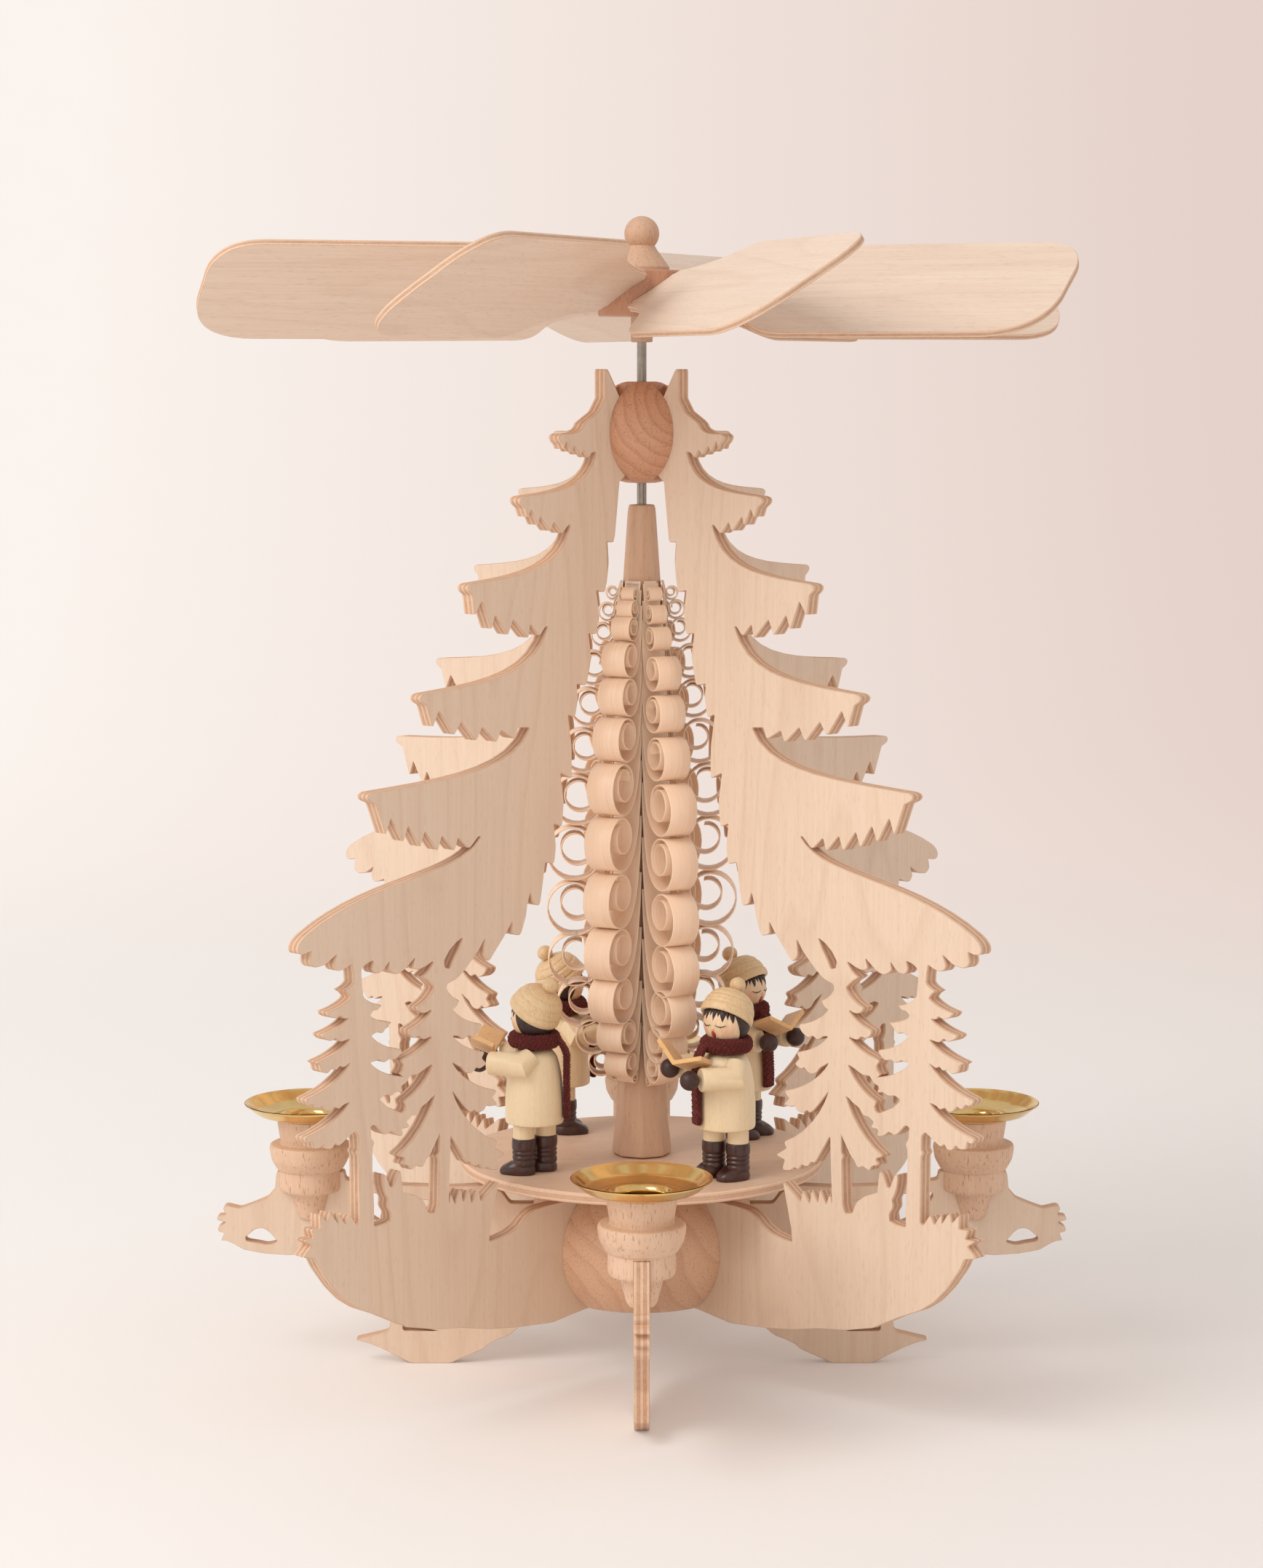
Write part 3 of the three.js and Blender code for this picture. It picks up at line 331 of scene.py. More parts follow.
    def relief(self, height: Socket, strength: float, depth_mm: float) -> None:
        """Gives the surface a fine relief.

        Args:
            height: The height pattern.
            strength: How much of it shows.
            depth_mm: The depth that a height of 1 stands for.
        """
        node = self.add("ShaderNodeBump")
        node.inputs["Strength"].default_value = strength
        node.inputs["Distance"].default_value = depth_mm * MM
        self.join(height, node.inputs["Height"])
        self.join(node.outputs[0], self.surface.inputs["Normal"])


def along(grain: Grain, fine: float, long: float) -> Triple:
    """Gives a scale that draws a pattern out along the grain.

    Args:
        grain: The fibre direction.
        fine: The scale across the fibres.
        long: The scale along them.

    Returns:
        The scale on each axis.
    """
    scale = [fine, fine, fine]
    scale[grain.value] = long
    return scale[0], scale[1], scale[2]


class Finish(Protocol):
    """What every finish offers."""

    name: str

    def material(self) -> Material:
        """Builds the material."""


@dataclass(frozen=True)
class WoodFinish:
    """Sanded solid wood or veneer, with streaks, growth lines and short flecks."""

    name: str
    pale: Colour
    dark: Colour
    fleck: Colour
    grain: Grain = Grain.ALONG_Z
    seed: int = 0
    ring_lines: float = 9.0
    ring_strength: float = 0.3
    streak_strength: float = 0.35
    fleck_amount: float = 0.3
    fleck_fine: float = 1.5
    roughness: float = 0.55
    coat: float = 0.0

    def material(self) -> Material:
        """Builds the wood.

        Returns:
            The material.
        """
        shader = Shader(self.name)
        place = shader.millimetres(self.seed)
        streak = shader.noise(shader.mapped(place, along(self.grain, 0.75, 0.022)), 1.0, 4.0, 0.62)
        field_lines = shader.noise(shader.mapped(place, along(self.grain, 0.02, 0.0032)), 1.0, 1.5, 0.4)
        lines = shader.calc("FRACT", shader.times(field_lines, self.ring_lines))
        ring = shader.band(lines, [(0.0, 0.9), (0.12, 0.15), (0.75, 0.3), (1.0, 1.0)])
        cloud = shader.noise(shader.mapped(place, along(self.grain, 0.03, 0.012)), 1.0, 2.0)
        dash = shader.noise(shader.mapped(place, along(self.grain, self.fleck_fine, 0.16 * self.fleck_fine)),
                            1.0, 1.5, 0.5)
        flecks = shader.band(dash, [(0.6, 0.0), (0.68, 1.0)])
        tone = shader.blend(shader.times(ring, self.ring_strength), self.pale, self.dark)
        streaks = shader.band(streak, [(0.3, 1.0), (0.7, 0.0)])
        tone = shader.blend(shader.times(streaks, self.streak_strength), tone, self.dark)
        tone = shader.blend(shader.times(shader.band(cloud, [(0.35, 0.0), (0.7, 1.0)]), 0.3),
                            tone, self.pale)
        tone = shader.blend(shader.times(flecks, self.fleck_amount), tone, self.fleck)
        shader.set("Base Color", tone)
        shader.uneven(streak, self.roughness - 0.08, self.roughness + 0.1)
        shader.set("Coat Weight", self.coat)
        shader.set("Coat Roughness", 0.35)
        shader.relief(shader.blend(0.4, streak, shader.blend(1.0, flecks, (1.0, 1.0, 1.0), "DIFFERENCE")),
                      0.35, 0.05)
        return shader.material


@dataclass(frozen=True)
class PlyEdgeFinish:
    """Sawn edge of plywood: pale and dark veneers across the thickness, browned by the cutter."""

    name: str
    thickness: float
    plies: int
    pale: Colour = srgb(232, 198, 168)
    dark: Colour = srgb(176, 126, 96)
    across: int = 1
    middle: float = 0.0

    def material(self) -> Material:
        """Builds the layered edge.

        Returns:
            The material.
        """
        shader = Shader(self.name)
        plain = shader.millimetres()
        place = shader.millimetres(1)
        wobble = shader.noise(shader.mapped(place, (0.12, 0.12, 0.12)), 1.0, 2.0)
        depth = shader.calc("ADD", shader.part(plain, self.across), self.thickness / 2 - self.middle)
        depth = shader.calc("ADD", depth, shader.times(shader.calc("SUBTRACT", wobble, 0.5), 0.25))
        ply = shader.calc("DIVIDE", depth, self.thickness / self.plies * 2)
        layer = shader.band(shader.calc("FRACT", ply), [
            (0.0, 0.75), (0.05, 0.12), (0.44, 0.05), (0.5, 1.0), (0.56, 0.62), (0.94, 0.7), (1.0, 0.95)])
        burn = shader.noise(shader.mapped(place, (0.35, 0.35, 0.35)), 1.0, 3.0, 0.6)
        fibre = shader.noise(shader.mapped(place, (2.4, 2.4, 2.4)), 1.0, 3.0, 0.7)
        amount = shader.times(layer, shader.calc("ADD", shader.times(burn, 0.9), 0.35))
        tone = shader.blend(amount, self.pale, self.dark)
        tone = shader.blend(shader.times(shader.band(fibre, [(0.45, 0.0), (0.7, 1.0)]), 0.35),
                            tone, self.dark)
        shader.set("Base Color", tone)
        shader.set("Roughness", 0.72)
        shader.relief(shader.blend(0.5, layer, fibre), 0.4, 0.06)
        return shader.material


@dataclass(frozen=True)
class TurnedFinish:
    """Beech turned across its rings: arched growth bands with short dark rays."""

    name: str
    pale: Colour
    dark: Colour
    heart: Triple
    ring_width: float
    ray: Colour = srgb(150, 100, 72)
    ring_strength: float = 0.55
    grain: Grain = Grain.ALONG_Y
    ray_amount: float = 0.4
    roughness: float = 0.5

    def material(self) -> Material:
        """Builds the turned wood.

        Returns:
            The material.
        """
        shader = Shader(self.name)
        place = shader.millimetres()
        flat = [1.0, 1.0, 1.0]
        flat[self.grain.value] = 0.12
        moved = shader.mapped(place, flat, move=[-value * scale for value, scale in zip(self.heart, flat)])
        wave = shader.noise(shader.mapped(place, (0.03, 0.03, 0.03)), 1.0, 2.0)
        far = shader.calc("ADD", shader.length(moved), shader.times(wave, self.ring_width * 2.4))
        ring = shader.band(shader.calc("FRACT", shader.calc("DIVIDE", far, self.ring_width)),
                           [(0.0, 0.2), (0.55, 0.35), (0.9, 1.0), (1.0, 0.25)])
        streak = shader.noise(shader.mapped(place, along(self.grain, 0.9, 0.05)), 1.0, 3.0, 0.6)
        dash = shader.noise(shader.mapped(place, along(self.grain, 1.9, 0.34)), 1.0, 1.5, 0.5)
        rays = shader.band(dash, [(0.6, 0.0), (0.66, 1.0)])
        tone = shader.blend(shader.times(ring, self.ring_strength), self.pale, self.dark)
        tone = shader.blend(shader.times(streak, 0.3), tone, self.dark)
        tone = shader.blend(shader.times(rays, self.ray_amount), tone, self.ray)
        shader.set("Base Color", tone)
        shader.set("Roughness", self.roughness)
        shader.set("Coat Weight", 0.08)
        shader.set("Coat Roughness", 0.4)
        shader.relief(shader.blend(0.5, streak, rays), 0.25, 0.05)
        return shader.material


@dataclass(frozen=True)
class ShavingFinish:
    """Knife-shaved lime: silky lines along the ribbon, and light that comes through it."""

    name: str
    pale: Colour = srgb(252, 225, 200)
    dark: Colour = srgb(238, 195, 160)
    depth: float = 0.0005

    def material(self) -> Material:
        """Builds the shaving.

        Returns:
            The material.
        """
        shader = Shader(self.name)
        place = shader.add("ShaderNodeTexCoord").outputs["UV"]
        line = shader.noise(shader.mapped(place, (0.03, 2.6, 1.0)), 1.0, 3.0, 0.6)
        cloud = shader.noise(shader.mapped(place, (0.08, 0.3, 1.0)), 1.0, 2.0)
        tone = shader.blend(shader.band(line, [(0.3, 0.75), (0.65, 0.0)]), self.pale, self.dark)
        tone = shader.blend(shader.times(cloud, 0.35), tone, self.pale)
        shader.set("Base Color", tone)
        shader.set("Roughness", 0.42)
        shader.relief(line, 0.3, 0.04)
        shader.set("Subsurface Weight", 0.6)
        shader.set("Subsurface Scale", self.depth)
        shader.surface.inputs["Subsurface Radius"].default_value = (1.0, 0.92, 0.84)
        return shader.material


@dataclass(frozen=True)
class PaintFinish:
    """Satin paint on wood, thin enough for a little unevenness."""

    name: str
    colour: Colour
    worn: Colour
    roughness: float = 0.38
    coat: float = 0.25

    def material(self) -> Material:
        """Builds the paint.

        Returns:
            The material.
        """
        shader = Shader(self.name)
        place = shader.millimetres()
        cloud = shader.noise(place, 0.35, 3.0, 0.6)
        fine = shader.noise(place, 2.2, 2.0)
        tone = shader.blend(shader.band(cloud, [(0.4, 0.0), (0.75, 0.8)]), self.colour, self.worn)
        shader.set("Base Color", tone)
        shader.uneven(fine, self.roughness - 0.06, self.roughness + 0.12)
        shader.set("Coat Weight", self.coat)
        shader.set("Coat Roughness", 0.25)
        shader.relief(fine, 0.25, 0.05)
        return shader.material


@dataclass(frozen=True)
class FaceFinish:
    """Sealed pale wood of a head, with a warm blush on the cheeks and fine vertical grain."""

    name: str
    skin: Colour = srgb(242, 214, 178)
    grain: Colour = srgb(216, 176, 134)
    blush: Colour = srgb(226, 150, 118)
    cheek: Triple = (4.9, -6.0, 55.0)

    def material(self) -> Material:
        """Builds the face wood.

        Returns:
            The material.
        """
        shader = Shader(self.name)
        place = shader.millimetres()
        streak = shader.noise(shader.mapped(place, (1.1, 1.1, 0.12)), 1.0, 3.0, 0.6)
        tone = shader.blend(shader.band(streak, [(0.42, 0.5), (0.7, 0.0)]), self.skin, self.grain)
        mirrored = shader.add("ShaderNodeVectorMath", operation="ABSOLUTE")
        shader.join(place, mirrored.inputs[0])
        away = shader.add("ShaderNodeVectorMath", operation="DISTANCE")
        shader.join(mirrored.outputs[0], away.inputs[0])
        away.inputs[1].default_value = (self.cheek[0], abs(self.cheek[1]), self.cheek[2])
        warm = shader.band(shader.calc("DIVIDE", away.outputs["Value"], 6.0), [(0.1, 0.45), (0.6, 0.0)])
        front = shader.band(shader.times(shader.part(place, 1), -0.2), [(0.0, 0.0), (0.4, 1.0)])
        tone = shader.blend(shader.times(warm, front), tone, self.blush)
        shader.set("Base Color", tone)
        shader.set("Roughness", 0.42)
        shader.set("Coat Weight", 0.15)
        shader.set("Coat Roughness", 0.3)
        shader.relief(streak, 0.2, 0.04)
        return shader.material


@dataclass(frozen=True)
class WoolFinish:
    """Dark red knitting yarn with stray fibres."""

    name: str
    yarn: Colour = srgb(106, 33, 28)
    deep: Colour = srgb(56, 14, 13)
    fluff: Colour = srgb(152, 74, 62)

    def material(self) -> Material:
        """Builds the wool.

        Returns:
            The material.
        """
        shader = Shader(self.name)
        place = shader.millimetres()
        fibre = shader.noise(place, 2.8, 4.0, 0.75, 1.2)
        tuft = shader.noise(place, 0.9, 2.0)
        tone = shader.blend(shader.band(fibre, [(0.35, 0.0), (0.62, 1.0)]), self.deep, self.yarn)
        tone = shader.blend(shader.times(shader.band(tuft, [(0.55, 0.0), (0.75, 1.0)]), 0.35),
                            tone, self.fluff)
        shader.set("Base Color", tone)
        shader.set("Roughness", 0.95)
        shader.set("Sheen Weight", 0.7)
        shader.set("Sheen Roughness", 0.45)
        shader.set("Sheen Tint", (*srgb(190, 110, 100), 1.0))
        shader.relief(fibre, 0.8, 0.25)
        return shader.material


@dataclass(frozen=True)
class MetalFinish:
    """Spun or drawn metal with fine tool lines."""

    name: str
    colour: Colour
    tarnish: Colour
    roughness: float
    spun: bool

    def material(self) -> Material:
        """Builds the metal.

        Returns:
            The material.
        """
        shader = Shader(self.name)
        place = shader.millimetres()
        cloud = shader.noise(place, 0.16, 3.0, 0.6)
        if self.spun:
            flat = shader.mapped(place, (1.0, 1.0, 0.0))
            ring = shader.add("ShaderNodeCombineXYZ")
            shader.join(shader.length(flat), ring.inputs[0])
            line = shader.noise(ring.outputs[0], 5.0, 3.0, 0.7)
        else:
            line = shader.noise(shader.mapped(place, (0.3, 0.3, 4.0)), 1.0, 3.0, 0.7)
        tone = shader.blend(shader.band(cloud, [(0.4, 0.0), (0.8, 0.7)]), self.colour, self.tarnish)
        shader.set("Base Color", tone)
        shader.set("Metallic", 1.0)
        shader.uneven(line, self.roughness * 0.75, self.roughness * 1.3)
        shader.relief(line, 0.12, 0.02)
        return shader.material


@dataclass(frozen=True)
class BackdropFinish:
    """Warm white studio paper with painted shade that darkens it towards the right, away from the lamp, and
    fades to an even wall.
    """

    name: str
    # The glow and the paper both darken from left to right: painted shade for the lamp's falloff.
    left: Colour = srgb(252, 244, 238)
    right: Colour = srgb(229, 210, 202)
    lit_left: Colour = srgb(253, 252, 251)
    painted_shade_albedo_right: Colour = srgb(245, 240, 238)
    half_width: float = 620.0
    floor_share: float = 0.16
    fade_start: float = 500.0
    fade_end: float = 1500.0

    def material(self) -> Material:
        """Builds the paper.

        Returns:
            The material.
        """
        shader = Shader(self.name)
        place = shader.millimetres()
        side = shader.add("ShaderNodeMapRange")
        shader.join(shader.part(place, 0), side.inputs[0])
        side.inputs[1].default_value = -self.half_width
        side.inputs[2].default_value = self.half_width
        fibre = shader.noise(place, 0.02, 2.0)
        # Painted shade: the glow that the camera sees darkens towards the right.
        tone = shader.blend(side.outputs[0], self.left, self.right)
        tone = shader.blend(shader.times(fibre, 0.05), tone, self.right)
        # Painted shade: the paper's own colour also darkens towards the right.
        shader.set("Base Color", shader.blend(side.outputs[0], self.lit_left, self.painted_shade_albedo_right))
        shader.set("Roughness", 0.9)
        glow = shader.add("ShaderNodeEmission")
        shader.join(tone, glow.inputs[0])
        fade = shader.add("ShaderNodeMapRange", interpolation_type="SMOOTHSTEP")
        shader.join(shader.length(place), fade.inputs[0])
        for socket, value in zip(fade.inputs[1:5], (self.fade_start, self.fade_end, self.floor_share, 1.0)):
            socket.default_value = value
        seen = shader.add("ShaderNodeLightPath")
        both = shader.add("ShaderNodeMixShader")
        shader.join(shader.times(fade.outputs[0], seen.outputs["Is Camera Ray"]), both.inputs[0])
        shader.join(shader.surface.outputs[0], both.inputs[1])
        shader.join(glow.outputs[0], both.inputs[2])
        shader.join(both.outputs[0], shader.output.inputs[0])
        return shader.material


class Palette:
    """Every finish of the object, each built once."""

    def __init__(self) -> None:
        """Starts with no material built."""
        self.made: dict[str, Material] = {}

    def get(self, finish: Finish) -> Material:
        """Gives a finish's material.

        Args:
            finish: The finish.

        Returns:
            Its material, built once for each name.
        """
        if finish.name not in self.made:
            self.made[finish.name] = finish.material()
        return self.made[finish.name]


PALETTE = Palette()


def thick_ply(seed: int) -> list[Finish]:
    """Gives the finishes of one panel or arm of thick birch plywood.

    Args:
        seed: Moves its grain.

    Returns:
        Its face and its sawn edge.
    """
    face = WoodFinish(f"birch_face_{seed}", srgb(234, 211, 189), srgb(211, 178, 151), srgb(186, 146, 118),
                      seed=seed, ring_lines=12, ring_strength=0.36, streak_strength=0.3, fleck_amount=0.14)
    return [face, PlyEdgeFinish("birch_edge", SHEET, 5)]


def blade_ply(seed: int) -> list[Finish]:
    """Gives the finishes of one thin blade.

    Args:
        seed: Moves its grain.

    Returns:
        Its face and its sawn edge.
    """
    face = WoodFinish(f"blade_face_{seed}", srgb(238, 217, 199), srgb(212, 178, 152), srgb(190, 150, 122),
                      grain=Grain.ALONG_X, seed=20 + seed, ring_lines=12, ring_strength=0.28,
                      streak_strength=0.36, fleck_amount=0.2)
    return [face, PlyEdgeFinish("blade_edge", BLADE_SHEET, 3, pale=srgb(236, 204, 176))]


def round_corners(points: Sequence[Point], radius: float, steps: int = 3, closed: bool = True,
                  notch: float | None = None) -> list[Point]:
    """Rounds the corners of an outline with short curves.

    Args:
        points: The corners.
        radius: How far back from a corner its curve may start.
        steps: How many pieces each curve has.
        closed: Whether the last point joins the first.
        notch: The same for corners that turn inwards, or none for one radius.

    Returns:
        The rounded outline.
    """
    count = len(points)
    way = signed_area(points) if closed else 1.0
    result: list[Point] = []
    for index, corner in enumerate(points):
        if not closed and index in (0, count - 1):
            result.append(tuple(corner))
            continue
        here = Vector(corner)
        before = Vector(points[index - 1]) - here
        after = Vector(points[(index + 1) % count]) - here
        if before.length < 1e-6 or after.length < 1e-6:
            continue
        if abs(pi - before.angle(after)) < radians(7):
            result.append(tuple(here))
            continue
        inwards = (after.x * before.y - after.y * before.x) * way < 0
        reach = notch if notch is not None and inwards else radius
        back = min(reach, 0.42 * before.length)
        ahead = min(reach, 0.42 * after.length)
        start = here + before.normalized() * back
        end = here + after.normalized() * ahead
        for step in range(steps + 1):
            t = step / steps
            spot = start * (1 - t) ** 2 + here * 2 * t * (1 - t) + end * t ** 2
            result.append((spot.x, spot.y))
    return result


def curve(start: Point, first: Point, second: Point, end: Point, steps: int = 10) -> list[Point]:
    """Gives points on a cubic curve, without its start.

    Args:
        start: Where it starts.
        first: Its first handle.
        second: Its second handle.
        end: Where it ends.
        steps: How many points.

    Returns:
        The points.
    """
    result = []
    for step in range(1, steps + 1):
        t = step / steps
        weights = ((1 - t) ** 3, 3 * t * (1 - t) ** 2, 3 * t * t * (1 - t), t ** 3)
        marks = list(zip(weights, (start, first, second, end)))
        result.append(tuple(sum(weight * spot[axis] for weight, spot in marks) for axis in (0, 1)))
    return result


def arc(radius: float, height: float, start: float, end: float, steps: int,
        squash: float = 1.0) -> list[Point]:
    """Gives points on an upright arc whose centre lies on the axis.

    Args:
        radius: Its radius.
        height: The height of its centre.
        start: Where it starts, in radians above the level.
        end: Where it ends.
        steps: How many pieces it has.
        squash: Its height against its width.

    Returns:
        The points.
    """
    angles = [start + (end - start) * step / steps for step in range(steps + 1)]
    return [(radius * cos(angle), height + radius * squash * sin(angle)) for angle in angles]


def signed_area(points: Sequence[Point]) -> float:
    """Gives twice the area of an outline, positive when it runs counterclockwise."""
    return sum(a[0] * b[1] - b[0] * a[1] for a, b in zip(points, [*points[1:], points[0]]))


def shifted(points: Sequence[Point], distance: float) -> list[Point]:
    """Moves a closed outline to its left.

    Args:
        points: The outline.
        distance: How far.

    Returns:
        The moved outline, with as many points.
    """
    result = []
    count = len(points)
    for index, corner in enumerate(points):
        before = (Vector(corner) - Vector(points[index - 1])).normalized()
        after = (Vector(points[(index + 1) % count]) - Vector(corner)).normalized()
        normal = Vector((-before.y - after.y, before.x + after.x))
        if normal.length < 1e-4:
            normal = Vector((-before.y, before.x))
        normal.normalize()
        share = max(0.55, normal.dot(Vector((-before.y, before.x))))
        result.append((corner[0] + normal.x * distance / share, corner[1] + normal.y * distance / share))
    return result


def finish_mesh(name: str, form: Form, finishes: Sequence[Finish], crease: float = 35.0) -> Thing:
    """Turns a form in millimetres into an object in metres.

    Args:
        name: The object's name.
        form: The form, which is freed.
        finishes: Its finishes, in slot order.
        crease: Edges sharper than this angle stay sharp.

    Returns:
        The object.
    """
    bmesh.ops.scale(form, vec=(MM, MM, MM), verts=form.verts)
    mesh = bpy.data.meshes.new(name)
    form.to_mesh(mesh)
    form.free()
    for finish in finishes:
        mesh.materials.append(PALETTE.get(finish))
    mesh.polygons.foreach_set("use_smooth", [True] * len(mesh.polygons))
    mesh.set_sharp_from_angle(angle=radians(crease))
    thing = bpy.data.objects.new(name, mesh)
    bpy.context.scene.collection.objects.link(thing)
    return thing


def bridge(form: Form, low: Ring, high: Ring, slot: int = 0) -> list[bmesh.types.BMFace]:
    """Joins two rings of corners by a band of faces, where a ring may be a single corner.

    Args:
        form: The form that they belong to.
        low: One ring.
        high: The other, with as many corners.
        slot: The material slot.

    Returns:
        The faces.
    """
    faces = []
    count = max(len(low), len(high))
    for k in range(count):
        n = (k + 1) % count
        corners = dict.fromkeys((low[k % len(low)], low[n % len(low)],
                                 high[n % len(high)], high[k % len(high)]))
        if len(corners) > 2:
            faces.append(form.faces.new(tuple(corners)))
            faces[-1].material_index = slot
    return faces


def skin(form: Form, rings: Sequence[Ring], capped: bool = True) -> Form:
    """Covers a row of rings and turns the faces outwards.

    Args:
        form: The form that they belong to.
        rings: The rings, from one end to the other.
        capped: Whether both ends are closed.

    Returns:
        The form.
    """
    for low, high in zip(rings, rings[1:]):
        bridge(form, low, high)
    if capped:
        form.faces.new(list(reversed(rings[0])))
        form.faces.new(rings[-1])
    bmesh.ops.recalc_face_normals(form, faces=form.faces)
    return form


def plate_form(outer: Sequence[Point], holes: Sequence[Sequence[Point]], thickness: float,
               chamfer: float = 0.22) -> Form:
    """Builds an upright plate with broken edges, centred on its own XZ plane.

    Args:
        outer: Its outline as radius and height.
        holes: The outlines of its holes.
        thickness: Its thickness along Y.
        chamfer: How much of each edge is broken.

    Returns:
        The form, with faces in slot 0 and sawn edges in slot 1.
    """
    form = bmesh.new()
    loops = [list(outer) if signed_area(outer) > 0 else list(reversed(outer))]
    loops += [list(hole) if signed_area(hole) < 0 else list(reversed(hole)) for hole in holes]
    flat: list[Point] = []
    edges: list[tuple[int, int]] = []
    rings: list[list[Ring]] = []
    half = thickness / 2
    for loop in loops:
        inner = shifted(loop, chamfer)
        start = len(flat)
        flat += inner
        edges += [(start + k, start + (k + 1) % len(inner)) for k in range(len(inner))]
        levels = [(inner, -half), (loop, -half + chamfer), (loop, half - chamfer), (inner, half)]
        rings.append([[form.verts.new((r, y, z)) for r, z in points] for points, y in levels])
    for levels in rings:
        for low, high in zip(levels, levels[1:]):
            bridge(form, low, high, 1)
    front = [vert for levels in rings for vert in levels[0]]
    back = [vert for levels in rings for vert in levels[-1]]
    spots, _, faces, origin, _, _ = delaunay_2d_cdt([Vector(p) for p in flat], edges, [], 2, 1e-6)
    for triangle in faces:
        source = [origin[k][0] if origin[k] else -1 for k in triangle]
        if -1 in source or len(set(source)) < 3 or not inside(triangle, spots, loops):
            continue
        for verts, order in ((front, source), (back, list(reversed(source)))):
            try:
                form.faces.new([verts[k] for k in order]).material_index = 0
            except ValueError:
                continue
    bmesh.ops.recalc_face_normals(form, faces=form.faces)
    return form


def inside(triangle: Sequence[int], spots: Sequence[Vector], loops: Sequence[Sequence[Point]]) -> bool:
    """Tells whether a triangle's middle lies in the plate.

    Args:
        triangle: Its corners' numbers.
        spots: All corners.
        loops: The plate's outlines.

    Returns:
        True where the plate is solid.
    """
    x = sum(spots[k][0] for k in triangle) / 3
    y = sum(spots[k][1] for k in triangle) / 3
    crossings = 0
    for loop in loops:
        for a, b in zip(loop, [*loop[1:], loop[0]]):
            if (a[1] > y) != (b[1] > y) and x < a[0] + (y - a[1]) / (b[1] - a[1]) * (b[0] - a[0]):
                crossings += 1
    return crossings % 2 == 1


def lathe_form(profile: Sequence[Point], segments: int, slots: Callable[[float, float], int] | None = None,
               closed: bool = False) -> Form:
    """Turns a profile about Z.

    Args:
        profile: Radius and height pairs.
        segments: How many steps round the axis.
        slots: Picks a material slot from a face's radius and height.
        closed: Whether the last point joins the first.

    Returns:
        The form.
    """
    form = bmesh.new()
    rings: list[Ring] = []
    for radius, height in profile:
        if radius < 1e-5:
            rings.append([form.verts.new((0, 0, height))])
            continue
        rings.append([form.verts.new((radius * cos(2 * pi * k / segments),
                                      radius * sin(2 * pi * k / segments), height))
                      for k in range(segments)])
    pairs = list(zip(rings, rings[1:])) + ([(rings[-1], rings[0])] if closed else [])
    for index, (low, high) in enumerate(pairs):
        a, b = profile[index], profile[(index + 1) % len(profile)]
        bridge(form, low, high, slots((a[0] + b[0]) / 2, (a[1] + b[1]) / 2) if slots else 0)
    bmesh.ops.recalc_face_normals(form, faces=form.faces)
    return form


def tube_form(path: Sequence[Vector], radii: Sequence[float], segments: int) -> Form:
    """Runs a round section along a path, with mitred bends and closed ends.

    Args:
        path: The points of the middle line.
        radii: The radius at each point.
        segments: How many sides.

    Returns:
        The form.
    """
    form = bmesh.new()
    rings = []
    up = Vector((0, 0, 1))
    for index, spot in enumerate(path):
        before = (spot - path[index - 1]).normalized() if index else None
        after = (path[index + 1] - spot).normalized() if index < len(path) - 1 else None
        lead = before or after
        side = lead.cross(up)
        side = side.normalized() if side.length > 1e-3 else Vector((1, 0, 0))
        top = side.cross(lead).normalized()
        plane = ((before or after) + (after or before)).normalized()
        ring = []
        for k in range(segments):
            angle = 2 * pi * k / segments
            offset = side * cos(angle) * radii[index] + top * sin(angle) * radii[index]
            slide = -offset.dot(plane) / max(0.3, lead.dot(plane))
            ring.append(form.verts.new(spot + offset + lead * slide))
        rings.append(ring)
    return skin(form, rings)


def box_form(low: Sequence[float], high: Sequence[float]) -> Form:
    """Builds a cutter between two corners.

    Args:
        low: The lowest corner.
        high: The highest corner.

    Returns:
        The form.
    """
    form = bmesh.new()
    corners = [form.verts.new((x, y, z)) for x in (low[0], high[0]) for y in (low[1], high[1])
               for z in (low[2], high[2])]
    for quad in ((0, 1, 3, 2), (4, 6, 7, 5), (0, 4, 5, 1), (2, 3, 7, 6), (0, 2, 6, 4), (1, 5, 7, 3)):
        form.faces.new([corners[k] for k in quad])
    bmesh.ops.recalc_face_normals(form, faces=form.faces)
    return form


def merged(forms: Sequence[Form], slots: Sequence[int] | None = None) -> Form:
    """Puts several forms in one, and frees them.

    Args:
        forms: The forms.
        slots: A material slot for each, or none to keep their own.

    Returns:
        One form.
    """
    result = bmesh.new()
    for index, form in enumerate(forms):
        if slots is not None:
            for face in form.faces:
                face.material_index = slots[index]
        mesh = bpy.data.meshes.new("part")
        form.to_mesh(mesh)
        form.free()
        result.from_mesh(mesh)
        bpy.data.meshes.remove(mesh)
    return result


